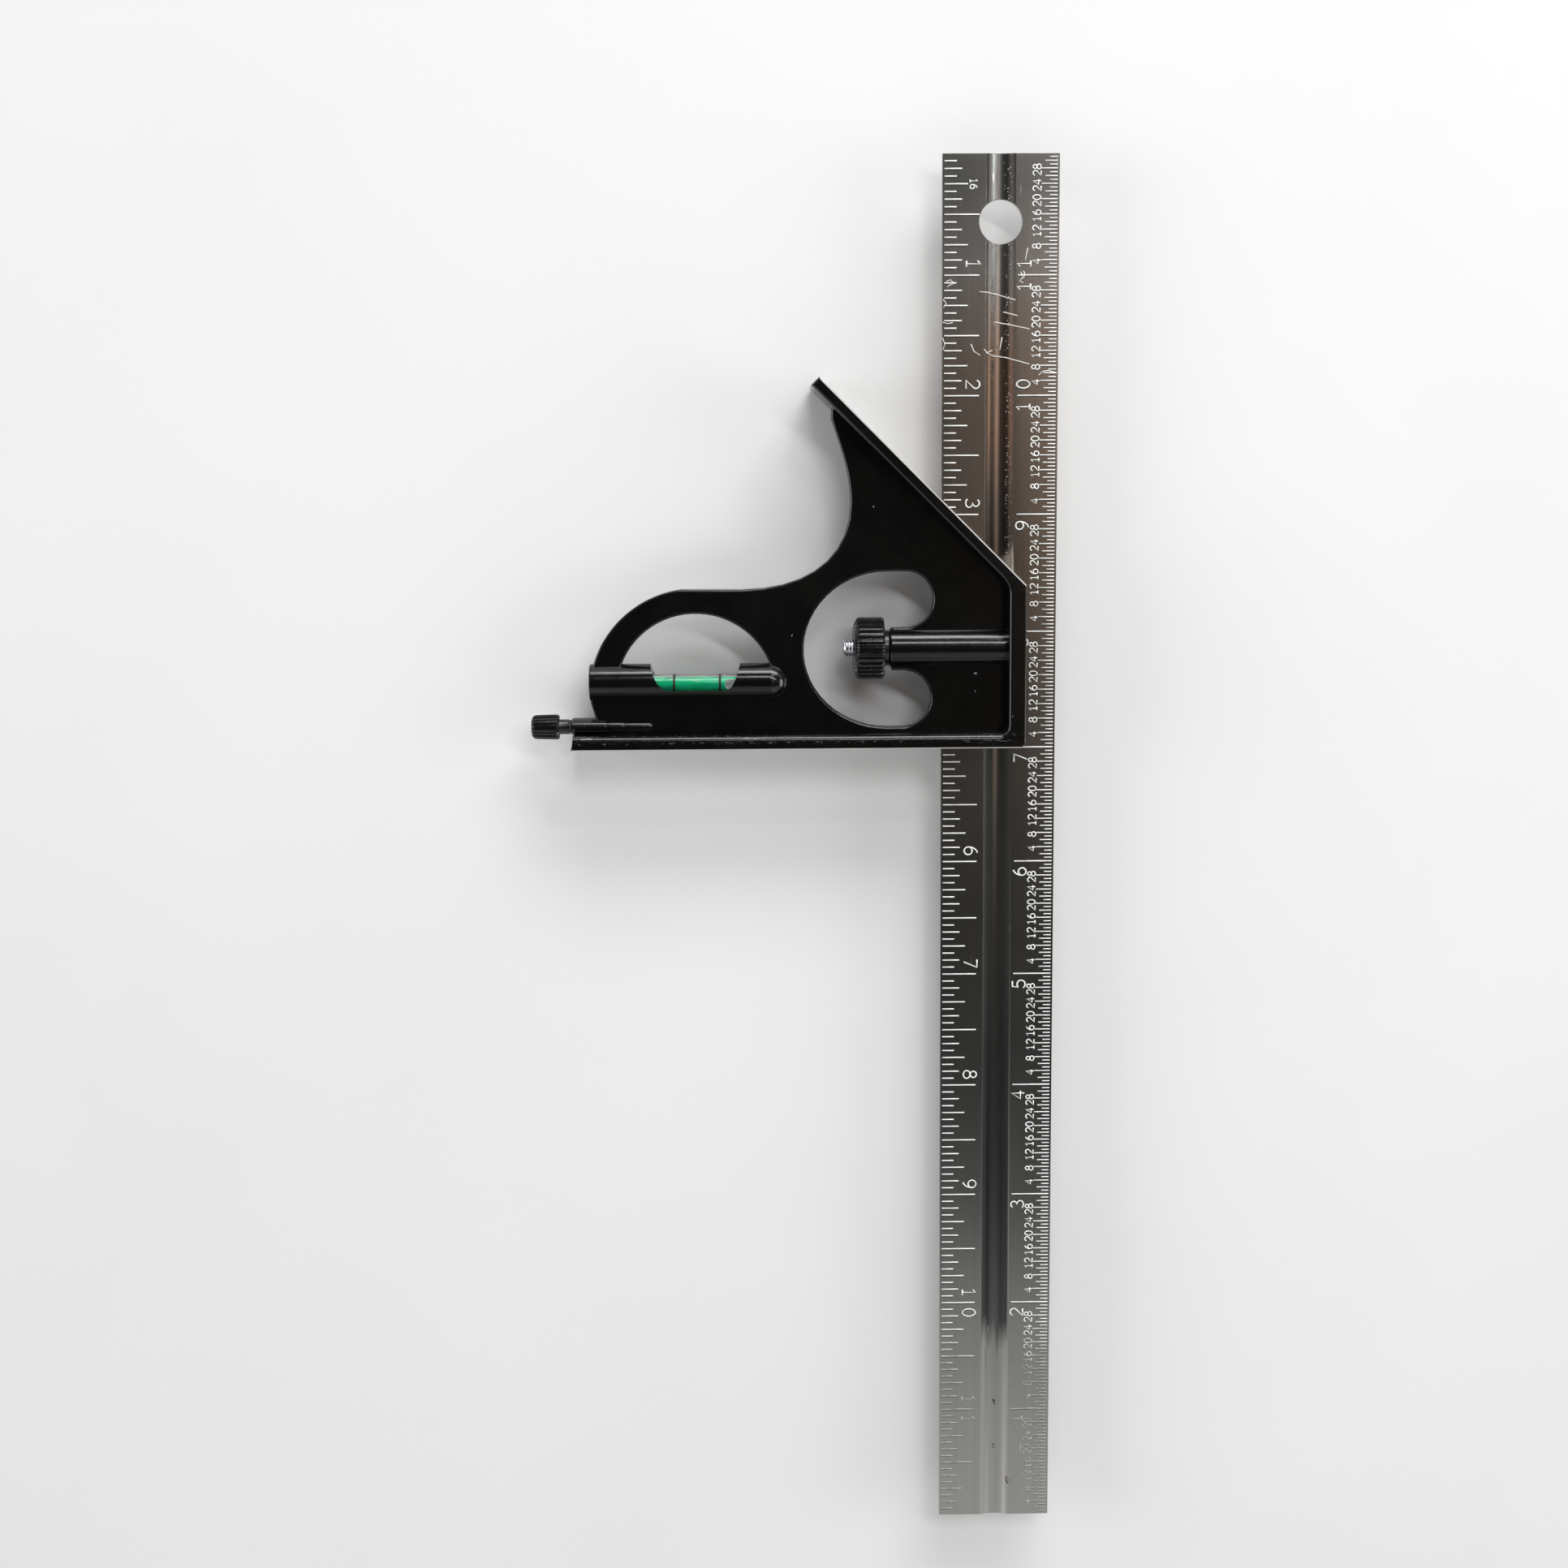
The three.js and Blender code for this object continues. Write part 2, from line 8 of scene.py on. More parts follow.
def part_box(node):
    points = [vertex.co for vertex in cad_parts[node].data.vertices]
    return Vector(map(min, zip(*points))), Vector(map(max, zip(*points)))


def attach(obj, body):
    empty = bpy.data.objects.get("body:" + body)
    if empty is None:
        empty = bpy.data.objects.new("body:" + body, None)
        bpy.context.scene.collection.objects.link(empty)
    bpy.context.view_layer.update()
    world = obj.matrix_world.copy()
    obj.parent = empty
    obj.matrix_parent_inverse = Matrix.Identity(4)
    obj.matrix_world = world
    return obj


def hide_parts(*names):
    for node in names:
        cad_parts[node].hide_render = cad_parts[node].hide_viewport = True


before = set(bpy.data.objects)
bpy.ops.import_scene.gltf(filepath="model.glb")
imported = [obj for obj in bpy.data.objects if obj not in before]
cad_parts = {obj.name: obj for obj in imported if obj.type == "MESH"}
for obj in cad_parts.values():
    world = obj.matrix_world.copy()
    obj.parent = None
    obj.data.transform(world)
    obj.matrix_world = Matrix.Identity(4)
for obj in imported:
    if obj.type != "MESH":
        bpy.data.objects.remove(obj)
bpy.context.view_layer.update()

MM = 0.001
INCH = 25.4

# ---- Places taken from the frame ----

blade_low, blade_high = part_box("blade")
head_low, head_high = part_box("head_casting")

CENTRE_X = (blade_low.x + blade_high.x) / 2
FACE_Y = head_low.y
MID_Z = (head_low.z + head_high.z) / 2


def at(x, y, z=0):
    """A place given in head millimetres: x from the blade's centreline, y from the 90
    degree face and z from the middle plane."""
    return Vector((CENTRE_X + x * MM, FACE_Y + y * MM, MID_Z + z * MM))


def head_x(value):
    """A frame x in head millimetres."""
    return (value - CENTRE_X) / MM


def head_y(value):
    """A frame y in head millimetres."""
    return (value - FACE_Y) / MM


def span(node):
    """The left and right ends of a CAD node, in head millimetres."""
    low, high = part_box(node)
    return head_x(low.x), head_x(high.x)


# ---- Sizes, in head millimetres ----

HALF_DEPTH = (head_high.z - head_low.z) / 2 / MM
WEB_HALF = 2
FLANGE = 3.1
FLANGE_LEFT = head_x(head_low.x)
RIM_OUTER = head_x(head_high.x)
RIM_INNER = 1.6
CREST_Y = 1.6  # where the square flange's flat front meets the slope to its inner side
MITRE_SUM = 40.4
MITRE_THICKNESS = 2.45
TIP_X = -39.1
SLOT_LEFT = -12.55
BLADE_HALF = (blade_high.z - blade_low.z) / 2 / MM
SLOT_HALF = BLADE_HALF + 0.05
HALF_WIDTH = (blade_high.x - blade_low.x) / 2 / MM
BLADE_TOP = head_y(blade_high.y)
BLADE_BOTTOM = head_y(blade_low.y)
GROOVE_HALF = 3.2
GROOVE_DEPTH = 0.7
HANG_HOLE = (0, BLADE_TOP - 14.2, 4.65)

BARREL_Y = 14.2
BARREL_RADIUS = 4.15
BARREL_LEFT = -89.4
BARREL_RIGHT = -49.95
VIAL_Y = 13.8
VIAL_RADIUS = 2.1
VIAL_WALL = 0.5
VIAL_BORE = 2.7
VIAL_LEFT = -80.9
VIAL_RIGHT = -50.9
BUBBLE_LEFT = -60.2
LINE_SPACING = 10

CLAMP_Y = 21.4
CLAMP_BOSS = 4.4
CLAMP_LEFT = -23.9
CLAMP_SHOULDER = -22
STEM_RADIUS = 2
SHANK_RADIUS = 3
NUT_RADIUS = 6.8
KNOB_RADIUS = 2.75
SCRIBER_Y = 4.6
BOSS_LEFT = -93.4
NEEDLE_RADIUS = 0.8


# ---- Shader values and finishes ----


class Value:
    """A number that varies over a surface. Sums with it add the nodes that they need."""

    def __init__(self, finish, socket):
        self.finish = finish
        self.socket = socket

    def _sum(self, operation, first, second):
        return self.finish.node("ShaderNodeMath", {"operation": operation}, {0: first, 1: second})

    def __add__(self, other):
        return self._sum("ADD", self, other)

    def __sub__(self, other):
        return self._sum("SUBTRACT", self, other)

    def __mul__(self, other):
        return self._sum("MULTIPLY", self, other)

    def __rsub__(self, other):
        return self._sum("SUBTRACT", other, self)

    __radd__ = __add__
    __rmul__ = __mul__

    def above(self, limit):
        return self._sum("GREATER_THAN", self, limit)


class Finish:
    """One material: a principled shader and the nodes that feed it."""

    def __init__(self, name, **constants):
        self.material = bpy.data.materials.new(name)
        self.material.use_nodes = True
        self.tree = self.material.node_tree
        self.shader = self.tree.nodes["Principled BSDF"]
        self.places = None
        for socket, value in constants.items():
            self.shader.inputs[socket.replace("_", " ")].default_value = value

    def node(self, kind, settings=None, inputs=None, output=0):
        made = self.tree.nodes.new(kind)
        for key, value in (settings or {}).items():
            if key == "stops":
                self._stops(made.color_ramp, value)
            else:
                setattr(made, key, value)
        for key, value in (inputs or {}).items():
            self.feed(made.inputs[key], value)
        return Value(self, made.outputs[output])

    def feed(self, socket, value):
        if isinstance(value, Value):
            self.tree.links.new(value.socket, socket)
        else:
            socket.default_value = value

    def set(self, **values):
        for socket, value in values.items():
            self.feed(self.shader.inputs[socket.replace("_", " ")], value)

    @staticmethod
    def _stops(ramp, stops):
        while len(ramp.elements) < len(stops):
            ramp.elements.new(0.5)
        for element, (position, shade) in zip(ramp.elements, stops):
            element.position = position
            colour = shade if isinstance(shade, tuple) else (shade,) * 3
            element.color = (*colour, 1)

    def place(self):
        """The surface's own coordinates, in metres."""
        if self.places is None:
            self.places = self.tree.nodes.new("ShaderNodeTexCoord")
        return Value(self, self.places.outputs["Object"])

    def axis(self, name):
        """One of the surface's own coordinates, in head millimetres."""
        parts = self.node("ShaderNodeSeparateXYZ", {}, {0: self.place()}, "XYZ".index(name))
        start = at(0, 0, 0)["XYZ".index(name)]
        return (parts - start) * (1 / MM)

    def along_blade(self):
        """0 at the blade's lower end and 1 at its upper end."""
        return (self.axis("Y") - BLADE_BOTTOM) * (1 / (BLADE_TOP - BLADE_BOTTOM))

    def stretched(self, per_metre):
        """Coordinates for a pattern with so many repeats a metre, the same all ways or
        along x, y and z."""
        scale = per_metre if isinstance(per_metre, tuple) else (per_metre,) * 3
        return self.node("ShaderNodeMapping", {}, {"Vector": self.place(), "Scale": scale})

    def noise(self, per_metre, detail=3, roughness=0.55):
        where = self.stretched(per_metre)
        inputs = {"Vector": where, "Scale": 1, "Detail": detail, "Roughness": roughness}
        return self.node("ShaderNodeTexNoise", {}, inputs)

    def ramp(self, value, stops):
        return self.node("ShaderNodeValToRGB", {"stops": stops}, {0: value})

    def specks(self, per_metre, radius):
        """Small round specks, one in each cell: 1 inside a speck and 0 outside."""
        inputs = {"Vector": self.stretched(per_metre), "Scale": 1}
        cells = self.node("ShaderNodeTexVoronoi", {}, inputs)
        return self.ramp(cells, [(radius * 0.6, 1), (radius, 0)])

    def blend(self, factor, first, second):
        """A colour between two, by a factor."""
        inputs = {0: factor, 6: first, 7: second}
        return self.node("ShaderNodeMix", {"data_type": "RGBA"}, inputs, 2)

    def band(self, value, middle, half_width):
        """1 where a value is at the middle, falling to 0 a half width away."""
        off = (value - middle) * (1 / half_width)
        return self.ramp(off * off, [(0, 1), (0.25, 0.5), (1, 0)])

    def bump(self, height, strength, depth):
        inputs = {"Height": height, "Strength": strength, "Distance": depth}
        self.set(Normal=self.node("ShaderNodeBump", {}, inputs))


def black_paint_finish():
    """Gloss black paint over a casting, with dust, small dings and scuffed flange edges, whose light bands
    along the flanges' crest and inner lip are partly painted highlight.
    """
    finish = Finish("black_paint")
    grain = finish.noise(2600, 4, 0.6)
    swell = finish.noise(150)
    dust = finish.specks(230, 0.07) * finish.noise(70).above(0.6)
    pits = finish.specks(420, 0.1) * finish.noise(45).above(0.55)
    y, z = finish.axis("Y"), finish.axis("Z")
    wear_and_glint_noise = finish.noise((700, 1500, 1500), 4, 0.7)
    on_front = z.above(HALF_DEPTH - 0.4) + (z * -1).above(HALF_DEPTH - 0.4)
    # Scuffs and painted highlight: a patchy light band along the flanges' crest and inner lip.
    crest = finish.band(y, CREST_Y, 0.45) * on_front
    lip = finish.band(y, FLANGE, 0.5) * (z * z).above((HALF_DEPTH - 2) ** 2)
    scuff_and_highlight = (crest + 0.8 * lip) * finish.ramp(wear_and_glint_noise, [(0.56, 0), (0.66, 1)])
    tone = finish.ramp(swell, [(0.3, (0.0016, 0.0018, 0.0016)), (0.7, (0.0036, 0.0038, 0.0034))])
    scuffed = finish.blend(scuff_and_highlight * 0.6, tone, (0.17, 0.175, 0.18, 1))
    dusty = finish.blend(dust * 0.8, scuffed, (0.3, 0.32, 0.34, 1))
    finish.set(Base_Color=dusty, Roughness=0.11 + 0.07 * grain + 0.05 * swell + 0.2 * scuff_and_highlight)
    finish.bump(0.3 * grain + 1.6 * swell - 0.9 * pits, 0.25, 0.0001)
    return finish.material


def ground_zinc_finish():
    """The bare faces that were ground true after painting: fine lines across the face."""
    finish = Finish("ground_zinc", Metallic=1)
    lines = finish.noise((9000, 9000, 260))
    stain = finish.noise(120, 4)
    tone = finish.ramp(stain, [(0.3, (0.42, 0.415, 0.41)), (0.65, (0.52, 0.515, 0.5))])
    finish.set(Base_Color=tone, Roughness=0.26 + 0.3 * lines)
    finish.bump(lines, 0.3, 0.00004)
    return finish.material


def stainless_finish():
    """Satin stainless steel, brushed along its length, with a painted reflection that runs lighter and
    darker along it and warm towards its hang-hole end, painted shade and a warm painted reflection in its
    groove, and fine scratches, dark specks and a scuffed edge to its groove."""
    finish = Finish("satin_stainless", Metallic=1)
    brush = finish.noise((5200, 60, 5200), 4, 0.6)
    streak = finish.noise((900, 9, 900))
    cloud = finish.noise((60, 22, 60))
    grain = finish.noise(2400, 3, 0.7)
    along = finish.along_blade()
    # Painted reflection: the steel's tone runs lighter and darker along the blade and warm towards its
    # hang-hole end.
    steel = finish.ramp(along, [
        (0, (0.5, 0.5, 0.475)), (0.2, (0.44, 0.445, 0.42)), (0.36, (0.36, 0.365, 0.345)),
        (0.6, (0.36, 0.36, 0.34)), (0.74, (0.46, 0.41, 0.36)), (0.86, (0.52, 0.465, 0.415)),
        (0.92, (0.48, 0.475, 0.46)), (0.98, (0.25, 0.255, 0.25)),
    ])
    trough = finish.band(finish.axis("X"), 0, GROOVE_HALF)
    in_groove = finish.ramp(trough, [(0.02, 0), (0.16, 1), (0.7, 1), (1, 0.7)])
    # Painted shade and reflection in the groove: dark over the lower blade, dark again beside the 45 degree
    # flange and brown beyond it.
    groove_painted_shade = finish.ramp(along + 0.05 * streak, [
        (0.155, 0), (0.175, 1), (0.3, 1), (0.38, 0.7), (0.5, 0),
        (0.69, 0), (0.72, 1), (0.8, 0.8), (0.88, 0.7), (0.94, 0),
    ])
    groove_painted_shade_tone = finish.ramp(along, [
        (0.2, (0.035, 0.04, 0.042)), (0.3, (0.06, 0.068, 0.075)), (0.7, (0.06, 0.055, 0.05)),
        (0.76, (0.17, 0.12, 0.095)), (0.81, (0.45, 0.24, 0.14)),
    ])
    groove_shaded = finish.blend(in_groove * groove_painted_shade * 0.92, steel, groove_painted_shade_tone)
    streaked = finish.blend(streak * 0.3, groove_shaded, (0.22, 0.21, 0.2, 1))
    scratch = finish.specks((420, 60, 420), 0.09) * cloud.above(0.5)
    worn = finish.blend(scratch * 0.5, streaked, (0.75, 0.74, 0.73, 1))
    groove_edge = finish.band(finish.axis("X"), 1.8, 1.3)
    rubbed = finish.specks(1500, 0.3) * groove_edge * along.above(0.72) * streak.above(0.4)
    scuffed = finish.blend(rubbed * 0.7, worn, (0.9, 0.9, 0.89, 1))
    specks = finish.specks(300, 0.06) * finish.noise(50).above(0.6)
    spotted = finish.blend(specks * 0.8, scuffed, (0.07, 0.06, 0.055, 1))
    finish.set(Base_Color=spotted, Roughness=0.13 + 0.06 * brush + 0.08 * cloud + 0.3 * rubbed)
    finish.bump(brush + 0.5 * streak + 0.25 * grain, 0.12, 0.000025)
    return finish.material


def etched_finish():
    """The etched figures and lines: pale and matt, worn back to the steel low on the blade."""
    finish = Finish("etched_marks")
    patchy = finish.noise(320, 4, 0.7)
    along = finish.along_blade()
    worn = finish.ramp(1.5 - along * 8 + patchy * 0.9, [(0.68, 0), (1.15, 0.82), (1.6, 0.96)])
    pale = finish.ramp(patchy, [(0.3, (0.7, 0.7, 0.68)), (0.5, (0.95, 0.95, 0.93))])
    tone = finish.blend(worn, pale, (0.4, 0.4, 0.38, 1))
    finish.set(Base_Color=tone, Metallic=0.1 + 0.85 * worn, Roughness=0.5 - 0.15 * worn)
    finish.bump(patchy, 0.2, 0.00003)
    return finish.material


def mark_root_finish():
    """Painted shadow: dark strips beside the etched lines and figures, where the engraving's shade falls."""
    finish = Finish("painted_mark_shadows", Metallic=0.3)
    patchy = finish.noise(420)
    along = finish.along_blade()
    faint = finish.ramp(along, [(0.02, 0.7), (0.2, 0)])
    dark = finish.ramp(patchy, [(0.3, 0.008), (0.7, (0.03, 0.029, 0.027))])
    finish.set(Base_Color=finish.blend(faint, dark, (0.3, 0.3, 0.28, 1)), Roughness=0.5 + 0.1 * patchy)
    return finish.material


def black_metal_finish():
    """Black finish on knurled metal, rubbed lighter in patches."""
    finish = Finish("black_knurled_metal", Coat_Weight=0.1)
    grain = finish.noise(3000)
    rub = finish.noise(700)
    tone = finish.ramp(rub, [(0.45, (0.003, 0.003, 0.0032)), (0.72, (0.012, 0.012, 0.013))])
    finish.set(Base_Color=tone, Roughness=0.2 + 0.16 * grain)
    finish.bump(grain + 0.6 * rub, 0.3, 0.00005)
    return finish.material


def shades(tone, darker, lighter):
    """Ramp stops from a darker to a lighter shade of a tone."""
    dark = tuple(part * darker for part in tone)
    light = tuple(min(1, part * lighter) for part in tone)
    return [(0.3, dark), (0.7, light)]


def plain_finish(name, stops, pattern, roughness, rise, bump=None, **constants):
    """One stuff with a faint mottle in its tone, its roughness and its surface."""
    finish = Finish(name, **constants)
    mottle = finish.noise(*pattern)
    finish.set(Base_Color=finish.ramp(mottle, stops), Roughness=roughness + rise * mottle)
    if bump:
        finish.bump(mottle, *bump)
    return finish.material


def plated_finish(name, tone, roughness):
    """Bright plated or drawn steel."""
    stops, bump = shades(tone, 0.78, 1.15), (0.15, 0.00003)
    return plain_finish(name, stops, (1500, 4), roughness, 0.15, bump, Metallic=1)


def matt_finish(name, tone, roughness, per_metre, depth):
    """A matt stuff with a fine tooth: putty, rubber or moulded plastic."""
    stops = shades(tone, 0.75, 1.2)
    return plain_finish(name, stops, (per_metre, 4, 0.6), roughness, 0.1, (0.35, depth))


BLACK_PAINT = black_paint_finish()
GROUND_ZINC = ground_zinc_finish()
STAINLESS = stainless_finish()
ETCHED = etched_finish()
MARK_PAINTED_SHADOW = mark_root_finish()
BLACK_METAL = black_metal_finish()
ZINC_PLATE = plated_finish("zinc_plate", (0.66, 0.67, 0.7), 0.2)
NEEDLE_STEEL = plated_finish("needle_steel", (0.52, 0.52, 0.53), 0.18)
SPRING_STEEL = plated_finish("spring_steel", (0.5, 0.5, 0.53), 0.22)
CLEAR_SHADES = [(0.2, (0.93, 0.98, 0.95)), (0.8, 1)]
CLEAR = plain_finish(
    "clear_vial", CLEAR_SHADES, (500, 2), 0.02, 0.05, Transmission_Weight=1, IOR=1.3
)
GREENS = [(0.3, (0.004, 0.6, 0.26)), (0.7, (0.01, 0.8, 0.38))]
LIQUID = plain_finish(
    "green_liquid", GREENS, (180, 2), 0.08, 0.05, Transmission_Weight=0.2, IOR=1.36
)
BARE_CHIP = matt_finish("bare_chip", (0.34, 0.35, 0.36), 0.4, 2600, 0.00003)
STAIN = matt_finish("brown_stain", (0.1, 0.06, 0.035), 0.5, 1800, 0.00002)
# Painted reflection: the bubble's pale finish stands for the silvery sheen of the bubble.
BUBBLE_PAINTED_SHEEN = matt_finish("bubble_painted_sheen", (0.9, 0.97, 0.95), 0.15, 900, 0.00002)
PUTTY = matt_finish("setting_putty", (0.66, 0.63, 0.55), 0.75, 1800, 0.0001)
LINE_BLACK = matt_finish("line_black", (0.012, 0.012, 0.012), 0.5, 3000, 0.00002)
PLUG_BLACK = matt_finish("plug_black", (0.02, 0.02, 0.021), 0.45, 2200, 0.00004)
RUBBER = matt_finish("bush_rubber", (0.014, 0.014, 0.014), 0.6, 2600, 0.00005)


# ---- Modelling tools ----


def deselect():
    bpy.ops.object.select_all(action="DESELECT")


def chosen(piece):
    """Selects one piece, and nothing else."""
    deselect()
    bpy.context.view_layer.objects.active = piece
    piece.select_set(True)


def editing(piece):
    chosen(piece)
    bpy.ops.object.mode_set(mode="EDIT")
    bpy.ops.mesh.select_all(action="SELECT")


def edited():
    """Leaves edit mode."""
    bpy.ops.object.mode_set(mode="OBJECT")


def closed_up(piece):
    """Merges a piece's doubled corners and turns its faces outwards."""
    editing(piece)
    bpy.ops.mesh.remove_doubles(threshold=2e-6)
    bpy.ops.mesh.normals_make_consistent(inside=False)
    edited()


def settled(piece):
    """Puts a piece's place, turn and scale into its mesh."""
    chosen(piece)
    bpy.ops.object.transform_apply(location=True, rotation=True, scale=True)


def applied(piece, kind, **settings):
    """Adds a modifier with these settings and applies it."""
    change = piece.modifiers.new(kind.lower(), kind)
    for key, value in settings.items():
        setattr(change, key, value)
    chosen(piece)
    bpy.ops.object.modifier_apply(modifier=change.name)


def joined_by(piece, operation, tools):
    """Adds or cuts other closed pieces, which keep their own finish on the new faces."""
    settings = {"operation": operation, "solver": "EXACT", "material_mode": "TRANSFER"}
    for tool in tools:
        applied(piece, "BOOLEAN", object=tool, **settings)
        bpy.data.objects.remove(tool)


def smooth(piece, degrees=32):
    """Soft shading over small angles, weighted so that flat faces stay flat."""
    chosen(piece)
    bpy.ops.object.shade_smooth_by_angle(angle=math.radians(degrees))
    applied(piece, "WEIGHTED_NORMAL", keep_sharp=True, weight=60)
    return piece


def painted(piece, finish):
    piece.data.materials.clear()
    piece.data.materials.append(finish)
    return piece


def new_curve(name, **settings):
    """An empty curve with these settings, in an object of this name."""
    deselect()
    bpy.ops.curve.primitive_bezier_curve_add()
    bpy.context.object.name = name
    drawn = bpy.context.object.data
    drawn.splines.clear()
    for key, value in settings.items():
        setattr(drawn, key, value)
    return drawn


def meshed():
    """The curve just drawn, made a mesh."""
    bpy.ops.object.convert(target="MESH")
    return bpy.context.object


def drawn_chain(name, points):
    """A chain of edges through these places, left in edit mode."""
    deselect()
    bpy.ops.mesh.primitive_plane_add(size=MM)
    piece = bpy.context.object
    piece.name = name
    bpy.ops.object.mode_set(mode="EDIT")
    bpy.ops.mesh.merge(type="CENTER")
    bpy.ops.transform.translate(value=points[0])
    for here, there in zip(points, points[1:]):
        bpy.ops.mesh.extrude_region_move(TRANSFORM_OT_translate={"value": there - here})
    return piece


def turned(name, profile, axis_y, finish, axis_z=0, steps=72):
    """A body turned about a line along x, from (radius, x) points. A ring's points end
    where they start."""
    piece = drawn_chain(name, [at(x, axis_y + radius, axis_z) for radius, x in profile])
    bpy.ops.mesh.select_all(action="SELECT")
    bpy.ops.mesh.spin(steps=steps, angle=2 * math.pi, center=at(0, axis_y, axis_z), axis=(1, 0, 0))
    edited()
    closed_up(piece)
    return painted(piece, finish)


FACING_X = (0, math.pi / 2, 0)


def ridged(name, rings, teeth, depth, axis_y, finish, bored):
    """A straight-knurled body along x, from (x, radius, toothed) rings. A bored one starts
    and ends at its bore's radius."""
    deselect()
    first_x, first_radius, _ = rings[0]
    bpy.ops.mesh.primitive_circle_add(
        vertices=4 * teeth, radius=first_radius * MM, location=at(first_x, axis_y), rotation=FACING_X
    )
    piece = bpy.context.object
    piece.name = name
    settled(piece)
    editing(piece)
    for (x, radius, _), (next_x, next_radius, _) in zip(rings, rings[1:]):
        step = {"value": ((next_x - x) * MM, 0, 0)}
        bpy.ops.mesh.extrude_region_move(TRANSFORM_OT_translate=step)
        grow = next_radius / radius
        bpy.ops.transform.resize(value=(1, grow, grow), center_override=at(next_x, axis_y))
    edited()
    pitch = 2 * math.pi / teeth
    toothed = [(x, radius) for x, radius, is_toothed in rings if is_toothed]
    for corner in piece.data.vertices:
        y, z = corner.co.y - at(0, axis_y).y, corner.co.z - MID_Z
        share = (math.atan2(z, y) / pitch + 0.01) % 1
        corner.select = False
        for x, radius in toothed:
            if abs(corner.co.x - at(x, 0).x) < 1e-6 and share > 0.45:
                corner.co -= Vector((0, y, z)) * (depth / radius)
    editing(piece)
    bpy.ops.mesh.select_all(action="DESELECT")
    bpy.ops.mesh.select_non_manifold()
    if bored:
        bpy.ops.mesh.bridge_edge_loops()
    else:
        bpy.ops.mesh.edge_face_add()
    edited()
    closed_up(piece)
    return painted(piece, finish)


class Outline:
    """A closed outline in head millimetres, of straight runs, arcs and free curves."""

    def __init__(self, x, y):
        self.knots = [[Vector((x, y)), None, None]]

    def line(self, x, y):
        self.knots.append([Vector((x, y)), None, None])
        return self

    def curve(self, leave, arrive, x, y):
        self.knots[-1][2] = Vector(leave)
        self.knots.append([Vector((x, y)), Vector(arrive), None])
        return self

    def arc(self, centre, radii, start, end):
        """An arc between two angles in degrees, after a straight run to its start."""
        pieces = max(1, math.ceil(abs(end - start) / 60))
        step = math.radians(end - start) / pieces
        reach = 4 / 3 * math.tan(step / 4)
        middle = Vector(centre)
        for i in range(pieces):
            ends = []
            for angle in (math.radians(start) + i * step, math.radians(start) + (i + 1) * step):
                place = Vector((radii[0] * math.cos(angle), radii[1] * math.sin(angle)))
                along = Vector((-radii[0] * math.sin(angle), radii[1] * math.cos(angle)))
                ends.append((middle + place, along * reach))
            (begin, leave), (finish, arrive) = ends
            if i == 0 and (begin - self.knots[-1][0]).length > 0.001:
                self.line(*begin)
            self.curve(begin + leave, finish - arrive, *finish)
        return self


def plate(name, outlines, half_thickness, finish, rounding=0):
    """A flat plate about the middle plane, with holes, its edges rounded."""
    drawn = new_curve(
        name,
        dimensions="2D",
        fill_mode="BOTH",
        resolution_u=9,
        extrude=(half_thickness - rounding) * MM,
        bevel_depth=rounding * MM,
        bevel_resolution=3,
        offset=-rounding * MM,
    )
    for outline in outlines:
        knots = outline.knots
        if (knots[0][0] - knots[-1][0]).length < 0.001:
            knots[0][1] = knots[-1][1]
            knots.pop()
        spline = drawn.splines.new("BEZIER")
        spline.bezier_points.add(len(knots) - 1)
        for point, (place, arrive, leave) in zip(spline.bezier_points, knots):
            point.handle_left_type = "FREE" if arrive else "VECTOR"
            point.handle_right_type = "FREE" if leave else "VECTOR"
            point.co = (*place * MM, 0)
            if arrive:
                point.handle_left = (*arrive * MM, 0)
            if leave:
                point.handle_right = (*leave * MM, 0)
        spline.use_cyclic_u = True
    piece = meshed()
    piece.location = at(0, 0)
    settled(piece)
    closed_up(piece)
    return painted(piece, finish)


def box_between(name, low, high, finish):
    """A box between two places, for cutting."""
    deselect()
    bpy.ops.mesh.primitive_cube_add(size=1, location=(low + high) / 2, scale=high - low)
    piece = bpy.context.object
    piece.name = name
    settled(piece)
    return painted(piece, finish)


# ---- Head ----

MACHINED_OFF = 0.35  # how much is ground off the cast 90 and 45 degree faces
BROKEN_EDGE = 0.28  # the bare bevel along the edges of the ground faces
ROUNDEST = 1.45  # the widest rounding of the flanges' edges
VIAL_HOLE = (-66.2, 11.8, 17.4)  # the middle and radius of the arch above the vial


def edge_rounding(x, y):
    """How far the strip's front and back edges are rounded at a place."""
    if y < 0.1 or x + y > MITRE_SUM + 0.1:
        return 0
    if x > RIM_INNER + 1:
        return 0.4
    if y < FLANGE + 0.1:
        return ROUNDEST if x > FLANGE_LEFT + 0.7 else 0.4
    if y < FLANGE + 2.1:
        return 0.6 + (ROUNDEST - 0.6) * (FLANGE + 2.1 - y) / 2
    return 0.7


